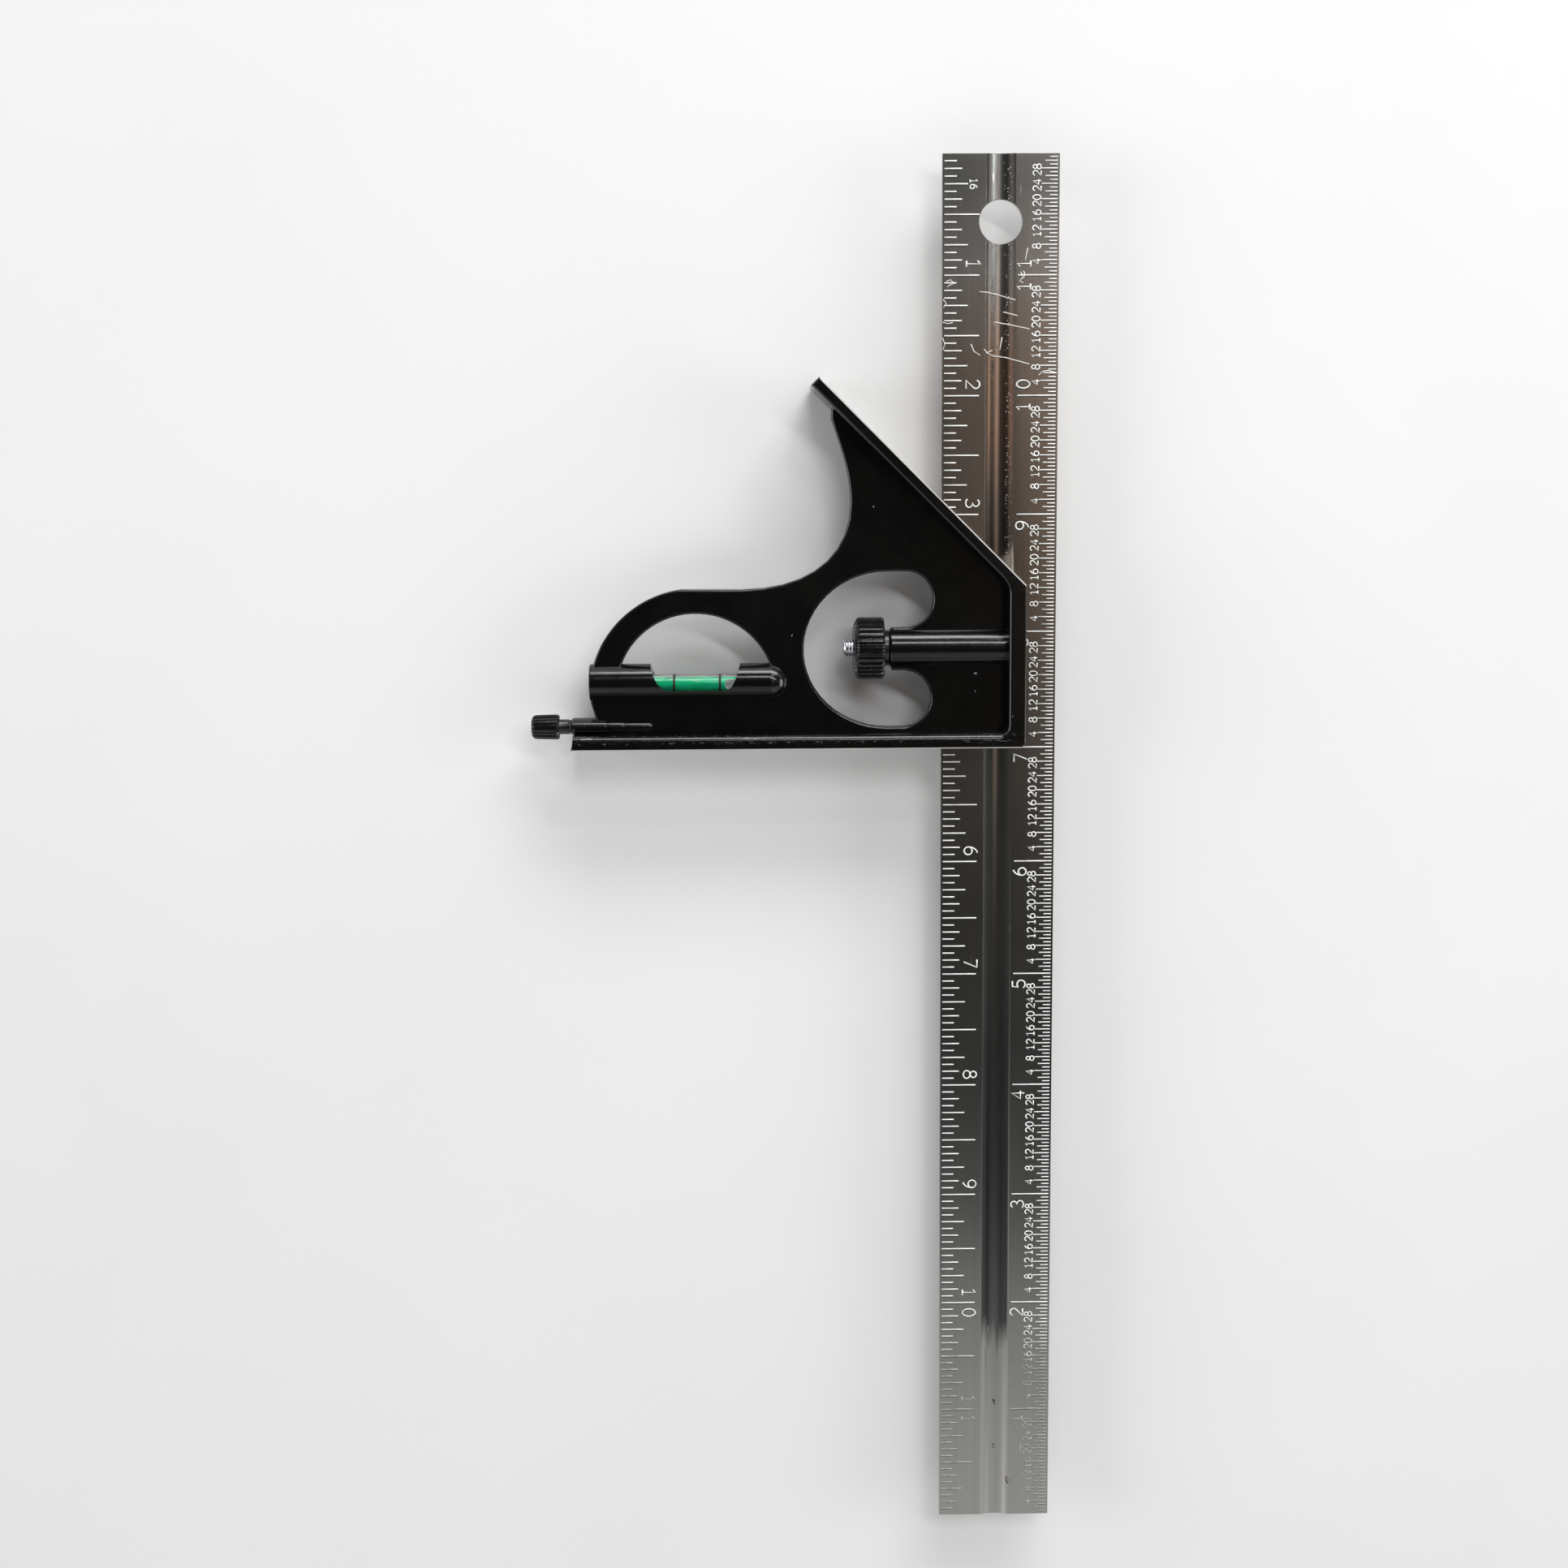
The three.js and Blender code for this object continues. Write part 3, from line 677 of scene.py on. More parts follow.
def flange_strip():
    """The 90 degree flange, the rim and the 45 degree flange, as cast."""
    outer = MITRE_SUM + MACHINED_OFF * math.sqrt(2)
    across = MITRE_THICKNESS * math.sqrt(2)
    inner = MITRE_SUM - across
    tip_y = MITRE_SUM - TIP_X
    low = -MACHINED_OFF
    edge = Outline(FLANGE_LEFT, low)
    edge.arc((RIM_OUTER - 2, 2 + low), (2, 2), -90, 0)
    edge.line(RIM_OUTER, outer - RIM_OUTER)
    edge.line(TIP_X + MACHINED_OFF / math.sqrt(2), tip_y + MACHINED_OFF / math.sqrt(2))
    edge.line(TIP_X - across / 2, tip_y - across / 2)
    edge.line(RIM_INNER - 2.2, inner - RIM_INNER + 2.2)
    turn_y = inner - RIM_INNER
    edge.curve((RIM_INNER - 0.8, turn_y + 0.8), (RIM_INNER, turn_y - 0.4), RIM_INNER, turn_y - 2)
    edge.arc((RIM_INNER - 2, FLANGE + 2), (2, 2), 0, -90)
    edge.line(FLANGE_LEFT + 0.6, FLANGE)
    strip = plate("flange_strip", [edge], HALF_DEPTH, BLACK_PAINT)
    editing(strip)
    bpy.ops.mesh.dissolve_limited(angle_limit=math.radians(0.5))
    edited()
    weights = strip.data.attributes.new("bevel_weight_edge", "FLOAT", "EDGE")
    corners = strip.data.vertices
    for side in strip.data.edges:
        ends = [corners[i].co for i in side.vertices]
        if abs(ends[0].z - ends[1].z) > 1e-6:
            continue
        middle = (ends[0] + ends[1]) / 2
        rounding = edge_rounding(head_x(middle.x), head_y(middle.y))
        weights.data[side.index].value = rounding / ROUNDEST
    settings = {"segments": 4, "limit_method": "WEIGHT", "use_clamp_overlap": False}
    applied(strip, "BEVEL", width=ROUNDEST * MM, **settings)
    return strip


def web():
    """The thin web, with the finger hole and the hole above the vial."""
    middle = MITRE_SUM - MITRE_THICKNESS / math.sqrt(2)
    rim_x = (RIM_INNER + RIM_OUTER) / 2
    outline = Outline(-88, FLANGE / 2)
    outline.line(rim_x, FLANGE / 2).line(rim_x, middle - rim_x)
    outline.line(-35.4, middle + 35.4).line(-36.4, middle + 34.6).line(-36.4, 70.8)
    outline.curve((-34.2, 64.6), (-32.3, 59), -32.3, 53)
    outline.curve((-32.3, 41.4), (-41.3, 34.4), -56, 34.4)
    outline.arc((-66.2, 11.3), (23.4, 23.4), 97, 163)
    outline.line(-89.2, 10).line(-88, 6)

    finger = Outline(-23.4, 25.9)
    finger.arc((-20.4, 32), (6.1, 6.1), -90, 90)
    finger.arc((-24.3, 21.15), (18.3, 16.95), 90, 270)
    finger.arc((-21, 10.4), (6.2, 6.2), -90, 90)
    finger.line(-23.4, 16.6)

    x, y, radius = VIAL_HOLE
    rise = math.degrees(math.asin((18.1 - y) / radius))
    half_chord = radius * math.cos(math.radians(rise))
    over_vial = Outline(x - half_chord, BARREL_Y).line(x + half_chord, BARREL_Y)
    over_vial.arc((x, y), (radius, radius), rise, 180 - rise)
    return plate("web", [outline, finger, over_vial], WEB_HALF, BLACK_PAINT, rounding=0.55)


def vial_barrel():
    profile = [(0, BARREL_LEFT), (BARREL_RADIUS - 0.35, BARREL_LEFT)]
    profile += [(BARREL_RADIUS - 0.1, BARREL_LEFT + 0.1), (BARREL_RADIUS, BARREL_LEFT + 0.35)]
    for angle in (i / 12 * math.pi / 2 for i in range(13)):
        across, past = BARREL_RADIUS * math.cos(angle), BARREL_RADIUS * math.sin(angle)
        profile.append((across, BARREL_RIGHT + past))
    return turned("vial_barrel", profile, BARREL_Y, BLACK_PAINT, steps=80)


def window_cut():
    """The window over the vial."""
    top = BARREL_Y + BARREL_RADIUS + 0.4
    shape = Outline(-72.3, 12.6).line(-59.5, 12.6)
    shape.curve((-58.3, 12.9), (-57.3, 14.6), -56.4, top)
    shape.line(-76.2, top)
    shape.curve((-75.4, 14.6), (-73.9, 12.9), -72.3, 12.6)
    return plate("window_cut", [shape], BARREL_RADIUS + 1, BLACK_PAINT)


def scriber_boss():
    """The boss round the scriber's hole, oval in section, fading into the web in steps."""
    profile = [(0, BOSS_LEFT), (1.75, BOSS_LEFT), (1.95, BOSS_LEFT + 0.2)]
    profile += [(1.95, -86.1), (1.88, -85.8), (1.75, -85.7)]
    profile += [(1.75, -82.2), (1.68, -81.9), (1.55, -81.8)]
    profile += [(1.55, -76.3), (1.4, -75.8), (1, -75.6), (0, -75.6)]
    boss = turned("scriber_boss", profile, SCRIBER_Y, BLACK_PAINT, steps=48)
    editing(boss)
    bpy.ops.transform.resize(value=(1, 1, 1.5), center_override=at(0, SCRIBER_Y))
    edited()
    return boss


def clamp_boss():
    profile = [(0, CLAMP_LEFT), (CLAMP_BOSS - 0.5, CLAMP_LEFT)]
    profile += [(CLAMP_BOSS - 0.15, CLAMP_LEFT + 0.15), (CLAMP_BOSS, CLAMP_LEFT + 0.5)]
    profile += [(CLAMP_BOSS, RIM_INNER + 1), (0, RIM_INNER + 1)]
    return turned("clamp_boss", profile, CLAMP_Y, BLACK_PAINT, steps=80)


def bore(name, radius, left, right, axis_y):
    profile = [(0, left), (radius, left), (radius, right), (0, right)]
    return turned(name, profile, axis_y, GROUND_ZINC, steps=64)


def ground_off(piece, place, outward):
    """Takes off all that stands past a plane, and leaves a flat face there."""
    editing(piece)
    bpy.ops.mesh.bisect(
        plane_co=place, plane_no=outward, use_fill=True, clear_outer=True, threshold=1e-6
    )
    edited()


def head_casting():
    head = flange_strip()
    head.name = "head_body"
    joined_by(head, "UNION", [web(), vial_barrel(), clamp_boss(), scriber_boss()])
    ground_faces = (
        (at(0, 0), Vector((0, -1, 0))),
        (at(0, MITRE_SUM), Vector((1, 1, 0)).normalized()),
    )
    for place, outward in ground_faces:
        ground_off(head, place, outward)
        for side in (1, -1):
            slope = (outward + Vector((0, 0, side))).normalized()
            edge = place + Vector((0, 0, side * HALF_DEPTH * MM)) - outward * BROKEN_EDGE * MM
            ground_off(head, edge, slope)
    slot_top = MITRE_SUM - SLOT_LEFT + 2
    slot = box_between(
        "blade_slot", at(SLOT_LEFT, -2, -SLOT_HALF), at(RIM_OUTER + 2, slot_top, SLOT_HALF), GROUND_ZINC
    )
    joined_by(head, "DIFFERENCE", [
        window_cut(),
        slot,
        bore("bolt_bore", 3.05, CLAMP_SHOULDER, RIM_OUTER + 1, CLAMP_Y),
        bore("stem_hole", 2.2, CLAMP_LEFT - 1, CLAMP_SHOULDER + 1, CLAMP_Y),
        bore("vial_bore", VIAL_BORE, BARREL_LEFT - 1, VIAL_RIGHT + 0.6, VIAL_Y),
        bore("bush_hole", 1.3, BOSS_LEFT - 1, -86, SCRIBER_Y),
        bore("needle_hole", 1.05, -87, -62, SCRIBER_Y),
    ])
    closed_up(head)
    bare = list(head.data.materials).index(GROUND_ZINC)
    for face in head.data.polygons:
        for place, outward in ground_faces:
            depth = (place - face.center).dot(outward)
            if face.normal.dot(outward) > 0.7 and depth < (BROKEN_EDGE + 0.02) * MM:
                face.material_index = bare
    return smooth(head)


# ---- Blade ----


def rod(sides, radius, length, place, turn):
    """A round bar, for cutting the blade's groove and hang hole."""
    deselect()
    bpy.ops.mesh.primitive_cylinder_add(
        vertices=sides, radius=radius * MM, depth=length * MM, location=place, rotation=turn
    )
    bar = painted(bpy.context.object, STAINLESS)
    settled(bar)
    return bar


def blade_body():
    body = box_between("blade_body", blade_low.copy(), blade_high.copy(), STAINLESS)
    applied(body, "BEVEL", width=0.1 * MM, segments=2, limit_method="ANGLE")
    radius = (GROOVE_HALF**2 + GROOVE_DEPTH**2) / (2 * GROOVE_DEPTH)
    along_middle = at(0, (BLADE_TOP + BLADE_BOTTOM) / 2, BLADE_HALF - GROOVE_DEPTH + radius)
    joined_by(body, "DIFFERENCE", [
        rod(320, radius, BLADE_TOP - BLADE_BOTTOM + 4, along_middle, (math.pi / 2, 0, 0)),
        rod(96, HANG_HOLE[2], 6, at(*HANG_HOLE[:2]), (0, 0, 0)),
    ])
    closed_up(body)
    return smooth(body, 25)


def arc(x, y, radius_x, radius_y, start, end, steps):
    """Points along an arc, for a figure's stroke."""
    points = []
    for i in range(steps + 1):
        angle = math.radians(start + (end - start) * i / steps)
        points.append((x + radius_x * math.cos(angle), y + radius_y * math.sin(angle)))
    return points


# Each figure is drawn in strokes on a field 0.6 wide and 1 high.
FIGURES = {
    "0": [arc(0.3, 0.5, 0.27, 0.5, 0, 360, 16)],
    "1": [[(0.1, 0.8), (0.3, 1), (0.3, 0)], [(0.1, 0), (0.5, 0)]],
    "2": [arc(0.3, 0.71, 0.27, 0.29, 165, -30, 8) + [(0.03, 0), (0.57, 0)]],
    "3": [arc(0.27, 0.76, 0.24, 0.24, 150, -90, 8) + arc(0.27, 0.26, 0.3, 0.26, 90, -150, 8)],
    "4": [[(0.43, 0), (0.43, 1), (0.02, 0.3), (0.6, 0.3)]],
    "5": [[(0.53, 1), (0.13, 1), (0.08, 0.56)] + arc(0.28, 0.32, 0.3, 0.32, 130, -150, 9)],
    "6": [arc(0.52, 0.32, 0.48, 0.68, 100, 180, 5), arc(0.31, 0.3, 0.27, 0.3, 0, 360, 12)],
    "7": [[(0.03, 1), (0.57, 1), (0.2, 0)]],
    "8": [arc(0.3, 0.76, 0.22, 0.24, 0, 360, 12), arc(0.3, 0.26, 0.28, 0.26, 0, 360, 12)],
    "9": [arc(0.08, 0.68, 0.48, 0.68, -80, 0, 5), arc(0.29, 0.7, 0.27, 0.3, 0, 360, 12)],
}
FIGURE_WIDTH = 1.1  # the figures' fields are drawn this much wider
FIGURE_STEP = 0.78  # from one figure of a number to the next, for a height of 1
NUMBER_APART = 2.4  # from an inch's line to the middle of each of its figures
MARK_EDGE = HALF_WIDTH - 0.45  # the lines start this far out
INCHES = round((BLADE_TOP - BLADE_BOTTOM) / INCH)
LEFT_NUMBERS, RIGHT_NUMBERS = (-5.84, 2.95), (5, 2.85)  # each column's x and height


def number_strokes(number, x, y, height, up):
    """The strokes of a number whose middle is at x, y, its tops towards +x or -x."""
    text = str(number)
    strokes = []
    for place, figure in enumerate(text):
        middle = (place - (len(text) - 1) / 2) * FIGURE_STEP
        for stroke in FIGURES[figure]:
            points = []
            for u, v in stroke:
                across, along = (v - 0.5) * height, (middle + (u - 0.3) * FIGURE_WIDTH) * height
                points.append((x + up * across, y - up * along))
            strokes.append(points)
    return strokes


def inch_number(inch, column, line_y, up):
    """An inch's number beside its line: one figure before the line, or two astride it."""
    x, height = column
    strokes = []
    for figure, side in zip(str(inch), (up, -up)):
        strokes += number_strokes(figure, x, line_y + side * NUMBER_APART, height, up)
    return strokes


def scale_lines(side, up, parts, lengths):
    """A scale of so many parts an inch along one edge, up from the blade's lower end or
    down from its upper one. The lengths are (divisor, length) pairs, and 0 is no line."""
    edge, start = side * MARK_EDGE, BLADE_BOTTOM if up > 0 else BLADE_TOP
    strokes = []
    for count in range(1, INCHES * parts):
        y = start + up * count * INCH / parts
        length = next(length for divisor, length in lengths if count % divisor == 0)
        if length:
            strokes.append([(edge, y), (edge - side * length, y)])
    return strokes


def front_bold_marks():
    """The front's sixteenths down the left edge, and all its inch lines and numbers."""
    strokes = scale_lines(-1, -1, 16, ((8, 7.5), (4, 5), (2, 3.75), (1, 2.6)))
    for inch in range(1, INCHES):
        strokes += inch_number(inch, LEFT_NUMBERS, BLADE_TOP - inch * INCH, 1)
    for inch in range(1, INCHES):
        y = BLADE_BOTTOM + inch * INCH
        strokes.append([(MARK_EDGE, y), (MARK_EDGE - 8.3, y)])
        strokes += inch_number(inch, RIGHT_NUMBERS, y, -1)
    return strokes


def front_fine_marks():
    """The front's thirty-seconds up the right edge, with their small numbers."""
    strokes = number_strokes(16, -MARK_EDGE + 6.2, BLADE_TOP - INCH / 4, 1.5, 1)
    strokes += scale_lines(1, 1, 32, ((32, 0), (4, 3.4), (2, 2.65), (1, 1.65)))
    for count in range(4, INCHES * 32, 4):
        if count % 32:
            y = BLADE_BOTTOM + count * INCH / 32
            strokes += number_strokes(count % 32, 7.65, y - 0.35, 1.7, -1)
    return strokes


def back_marks():
    """The back's scales: eighths along one edge and sixty-fourths along the other."""
    strokes = scale_lines(1, -1, 8, ((8, 7.5), (4, 5.6), (2, 4.4), (1, 3.2)))
    sixty_fourths = ((64, 8.3), (32, 5.2), (8, 3.6), (4, 2.8), (2, 2.1), (1, 1.5))
    strokes += scale_lines(-1, 1, 64, sixty_fourths)
    for inch in range(1, INCHES):
        strokes += mirrored(inch_number(inch, LEFT_NUMBERS, BLADE_TOP - inch * INCH, 1))
        strokes += mirrored(inch_number(inch, RIGHT_NUMBERS, BLADE_BOTTOM + inch * INCH, -1))
    return strokes


def mirrored(strokes):
    """Strokes turned over for the blade's back."""
    return [[(-x, y) for x, y in stroke] for stroke in strokes]


def marks_piece(name, strokes, half_width, level, drop, finish, height):
    """Strokes as fine low ridges that sit in a face at this level."""
    depth = half_width * math.sqrt(2) * MM
    drawn = new_curve(name, dimensions="3D", bevel_depth=depth, bevel_resolution=0, use_fill_caps=True)
    for stroke in strokes:
        closes = math.dist(stroke[0], stroke[-1]) < 0.01
        points = stroke[:-1] if closes else stroke
        spline = drawn.splines.new("POLY")
        spline.points.add(len(points) - 1)
        for point, (x, y) in zip(spline.points, points):
            point.co = (*at(x, y - drop, level), 1)
        spline.use_cyclic_u = closes
    piece = meshed()
    editing(piece)
    thinness = height / half_width
    bpy.ops.transform.resize(value=(1, 1, thinness), center_override=at(0, 0, level))
    edited()
    closed_up(piece)
    return painted(piece, finish)


# Bright scratches across the blade near its hang hole, and dings at its edges.
SCRATCHES = [
    [(5.8, 106.7), (5.5, 105.4), (5.3, 104.1)],
    [(-4.5, 97.6), (-2.6, 97.4), (-0.9, 97), (3.2, 95.8)],
    [(0.6, 93.3), (3.7, 92.5)],
    [(-1.2, 91.2), (2.4, 90.5), (6.3, 89.7)],
    [(-3.5, 85.5), (-2.6, 84.6), (-1.4, 84), (1.1, 83.7), (6.3, 82.3)],
    [(-6.3, 86.6), (-5.6, 85), (-4.3, 84.2)],
    [(-3, 84.6), (-1.7, 85.2)],
    [(0.4, 88), (-0.1, 85.2)],
    [(8.3, 79.9), (9.2, 80.7), (10.4, 80.9), (12.2, 80.4)],
    [(-11.6, 99.8), (-10.7, 100.1), (-9.9, 99.3), (-10.9, 99), (-11.4, 98.6)],
    [(-12.3, 96), (-11.6, 95.2), (-12.2, 94.3)],
    [(-12.4, 91.2), (-11.4, 90.9), (-10.2, 91.1)],
    [(-12.4, 87.9), (-11.9, 86.6), (-12.3, 85.4)],
    [(4.3, 101.7), (4.8, 100.7), (4.1, 99.8), (4.9, 99.4)],
    [(4.9, 101.9), (5.3, 101), (4.6, 100.2)],
]
# Small brown stains low on the blade.
STAINS = [
    [(-0.1, -151.3), (0.2, -151.6), (0.05, -151.9)],
    [(-0.1, -162), (0.1, -162.3)],
    [(3, -169.2), (2.9, -170.2), (3.3, -171)],
    [(3.8, -170), (3.9, -170.3)],
]
# Bare specks on the web, and chips on the square flange's front.
SPECK_X, CHIP_X = RIM_INNER - 6.7, RIM_INNER - 56.1
WEB_SPECKS = [
    [(SPECK_X - 0.3, CLAMP_Y - 5.55), (SPECK_X + 0.25, CLAMP_Y - 5.5), (SPECK_X, CLAMP_Y - 5.75)],
    [(SPECK_X - 0.1, CLAMP_Y - 9.5), (SPECK_X + 0.02, CLAMP_Y - 9.5)],
    [(-45.2, 24.4), (-45.1, 24.35)],
    [(-27.4, 52), (-27.2, 52.1)],
]
FLANGE_CHIPS = [
    [(CHIP_X - 1.5, 2.35), (CHIP_X - 0.6, 2.6), (CHIP_X + 0.2, 2.3), (CHIP_X + 1.6, 2.5)],
    [(CHIP_X + 0.3, 2.6), (CHIP_X + 0.6, 2.2)],
    [(-91, 2.5), (-89.6, 2.6), (-88.6, 2.5)],
]


# ---- Clamp ----


def clamp_nut():
    left, right = span("clamp_nut")
    hole = STEM_RADIUS + 0.06
    rings = [
        (left, hole, False), (left, 4.4, False), (left + 0.25, 5.4, False),
        (left + 0.75, NUT_RADIUS - 0.5, True), (left + 1.05, NUT_RADIUS - 0.15, True),
        (left + 1.4, NUT_RADIUS, True), (right - 1.7, NUT_RADIUS, True),
        (right - 1.35, NUT_RADIUS - 0.15, True), (right - 1.05, NUT_RADIUS - 0.5, True),
        (right - 0.95, 3.95, False), (right - 0.1, 3.9, False), (right, 3.8, False),
        (right, hole, False),
    ]
    nut = ridged("knurled_nut", rings, 30, 0.75, CLAMP_Y, BLACK_METAL, bored=True)
    return smooth(nut, 28)


def clamp_bolt():
    left, right = span("clamp_bolt")
    root, crest, pitch = 1.68, 1.97, 0.7
    profile = [(0, left), (1.3, left), (1.5, left + 0.08), (root, left + 0.3)]
    for turn in range(12):
        x = left + 0.35 + turn * pitch
        profile += [(root, x), (crest, x + 0.3), (crest, x + 0.4)]
    profile += [(1.7, -24.9), (1.7, -24), (STEM_RADIUS, -23.8)]
    profile += [(STEM_RADIUS, -16.4), (SHANK_RADIUS - 0.2, -16.4), (SHANK_RADIUS, -16.2)]
    profile += [(SHANK_RADIUS, right - 0.2), (SHANK_RADIUS - 0.2, right), (0, right)]
    bolt = turned("hooked_bolt", profile, CLAMP_Y, ZINC_PLATE, steps=64)
    underside = SLOT_HALF + 0.1
    blade_space = box_between(
        "blade_space", at(-13.8, CLAMP_Y - 5, -5), at(right + 1, CLAMP_Y + 5, underside), ZINC_PLATE
    )
    joined_by(bolt, "DIFFERENCE", [blade_space])
    lug = box_between(
        "lug", at(-2.3, CLAMP_Y - 2.2, BLADE_HALF - 0.2), at(0.5, CLAMP_Y + 2.2, underside + 0.5), ZINC_PLATE
    )
    applied(lug, "BEVEL", width=0.15 * MM, segments=2)
    joined_by(bolt, "UNION", [lug])
    closed_up(bolt)
    return smooth(bolt, 30)


def clamp_spring():
    """The coil round the bolt's stem."""
    wire, coil, turns, steps = 0.3, 2.62, 4.5, 40
    left, right = span("clamp_spring")
    start, end = left + wire, right - wire
    drawn = new_curve(
        "coil_spring", dimensions="3D", bevel_depth=wire * MM, bevel_resolution=3, use_fill_caps=True
    )
    spline = drawn.splines.new("POLY")
    count = round(turns * steps)
    spline.points.add(count)
    for i, point in enumerate(spline.points):
        angle = i / steps * 2 * math.pi
        x = start + (end - start) * i / count
        place = at(x, CLAMP_Y + coil * math.cos(angle), coil * math.sin(angle))
        point.co = (*place, 1)
    piece = meshed()
    closed_up(piece)
    painted(piece, SPRING_STEEL)
    return smooth(piece, 50)


# ---- Vial ----


def vial_pieces():
    """The tube, its cap, the liquid with its bubble, the two lines, the putty and plug."""
    bore_radius = VIAL_RADIUS - VIAL_WALL
    inner_right = VIAL_RIGHT - 1
    tube = turned("glass_tube", [
        (0, inner_right), (bore_radius, inner_right), (bore_radius, VIAL_LEFT),
        (VIAL_RADIUS - 0.1, VIAL_LEFT), (VIAL_RADIUS, VIAL_LEFT + 0.1),
        (VIAL_RADIUS, VIAL_RIGHT - 0.4), (VIAL_RADIUS - 0.12, VIAL_RIGHT - 0.12),
        (VIAL_RADIUS - 0.4, VIAL_RIGHT), (0, VIAL_RIGHT),
    ], VIAL_Y, CLEAR)
    cap = turned("tube_cap", [
        (0, VIAL_LEFT - 0.8), (VIAL_RADIUS - 0.15, VIAL_LEFT - 0.8), (VIAL_RADIUS, VIAL_LEFT - 0.65),
        (VIAL_RADIUS, VIAL_LEFT - 0.03), (bore_radius - 0.03, VIAL_LEFT - 0.03),
        (bore_radius - 0.03, VIAL_LEFT + 1.2), (0, VIAL_LEFT + 1.2),
    ], VIAL_Y, CLEAR)

    liquid_left, liquid_right = VIAL_LEFT + 1.23, inner_right - 0.03
    liquid = turned("green_spirit", [
        (0, liquid_left), (bore_radius - 0.03, liquid_left),
        (bore_radius - 0.03, liquid_right), (0, liquid_right),
    ], VIAL_Y, LIQUID)
    radius = 1.15  # of the bubble
    profile = [(0, BUBBLE_LEFT)]
    for i in range(1, 9):
        angle = i / 8 * math.pi / 2
        profile.append((radius * math.sin(angle), BUBBLE_LEFT + radius * (1 - math.cos(angle))))
    profile += [(radius, liquid_right + 1), (0, liquid_right + 1)]
    lift = bore_radius - radius + 0.25
    # The bubble's cavity takes the pale bubble finish, a painted reflection.
    bubble = turned("bubble", profile, VIAL_Y, BUBBLE_PAINTED_SHEEN, axis_z=lift, steps=48)
    joined_by(liquid, "DIFFERENCE", [bubble])
    closed_up(liquid)

    middle = (VIAL_LEFT + VIAL_RIGHT) / 2
    rings = []
    for name, side in (("black_line_left", -1), ("black_line_right", 1)):
        x = middle + side * LINE_SPACING / 2
        low, high = VIAL_RADIUS + 0.02, VIAL_RADIUS + 0.12
        rings.append(turned(name, [
            (low, x - 0.25), (high, x - 0.25), (high, x + 0.25), (low, x + 0.25), (low, x - 0.25),
        ], VIAL_Y, LINE_BLACK))

    beds = []
    inner, outer = VIAL_RADIUS + 0.05, VIAL_BORE - 0.08
    for side in ("left", "right"):
        left, right = span("vial_bedding_" + side)
        beds.append(turned("putty_" + side, [
            (inner, left), (outer, left), (outer, right - 0.1), (outer - 0.15, right),
            (inner + 0.2, right - 0.05), (inner, right), (inner, left),
        ], VIAL_Y, PUTTY))

    left = BARREL_LEFT + 0.4
    edge = VIAL_BORE - 0.06
    plug = turned("bore_plug", [
        (0, left + 0.15), (1.6, left + 0.12), (edge - 0.5, left), (edge - 0.2, left + 0.06),
        (edge, left + 0.3), (edge, left + 1.8), (0, left + 1.8),
    ], VIAL_Y, PLUG_BLACK)
    for piece in (tube, cap, liquid, *rings, *beds, plug):
        smooth(piece, 35)
    return tube, cap, liquid, rings, beds, plug


# ---- Scriber ----


def scriber_knob():
    left, neck_end = span("scriber_knob")
    right = -96.2
    socket = NEEDLE_RADIUS + 0.04
    rings = [
        (left, 1.5, False), (left + 0.08, 1.9, False), (left + 0.3, 2.3, True),
        (left + 0.7, KNOB_RADIUS - 0.2, True), (left + 1.3, KNOB_RADIUS - 0.1, True),
        (right - 0.8, KNOB_RADIUS, True), (right - 0.35, KNOB_RADIUS, True),
        (right - 0.05, KNOB_RADIUS - 0.3, True), (right, 1.75, False), (right + 0.3, 1.65, False),
        (neck_end - 0.1, 1.65, False), (neck_end, 1.5, False), (neck_end, socket, False),
        (neck_end - 4.6, socket, False),
    ]
    knob = ridged("scriber_grip", rings, 18, 0.36, SCRIBER_Y, BLACK_METAL, bored=False)
    return smooth(knob, 30)


def scriber_needle():
    left, tip = span("scriber_needle")
    needle = turned("steel_needle", [
        (0, left), (NEEDLE_RADIUS, left), (NEEDLE_RADIUS, tip - 6.4), (NEEDLE_RADIUS - 0.04, tip - 5.8),
        (0.1, tip - 0.12), (0.05, tip - 0.03), (0, tip),
    ], SCRIBER_Y, NEEDLE_STEEL, steps=40)
    return smooth(needle, 30)


def scriber_bush():
    bore_radius = NEEDLE_RADIUS + 0.05
    seat = BOSS_LEFT - 0.03
    bush = turned("rubber_bush", [
        (bore_radius, seat - 0.4), (1.1, seat - 0.45), (1.45, seat - 0.45), (1.55, seat - 0.35),
        (1.55, seat), (1.25, seat), (1.25, -86.1), (bore_radius, -86.1), (bore_radius, seat - 0.4),
    ], SCRIBER_Y, RUBBER, steps=48)
    return smooth(bush, 35)


# ---- Assembly ----


def stand_for(piece, node, body="head"):
    """A finished piece takes the place of a CAD node on that body."""
    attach(piece, body)
    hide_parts(node)


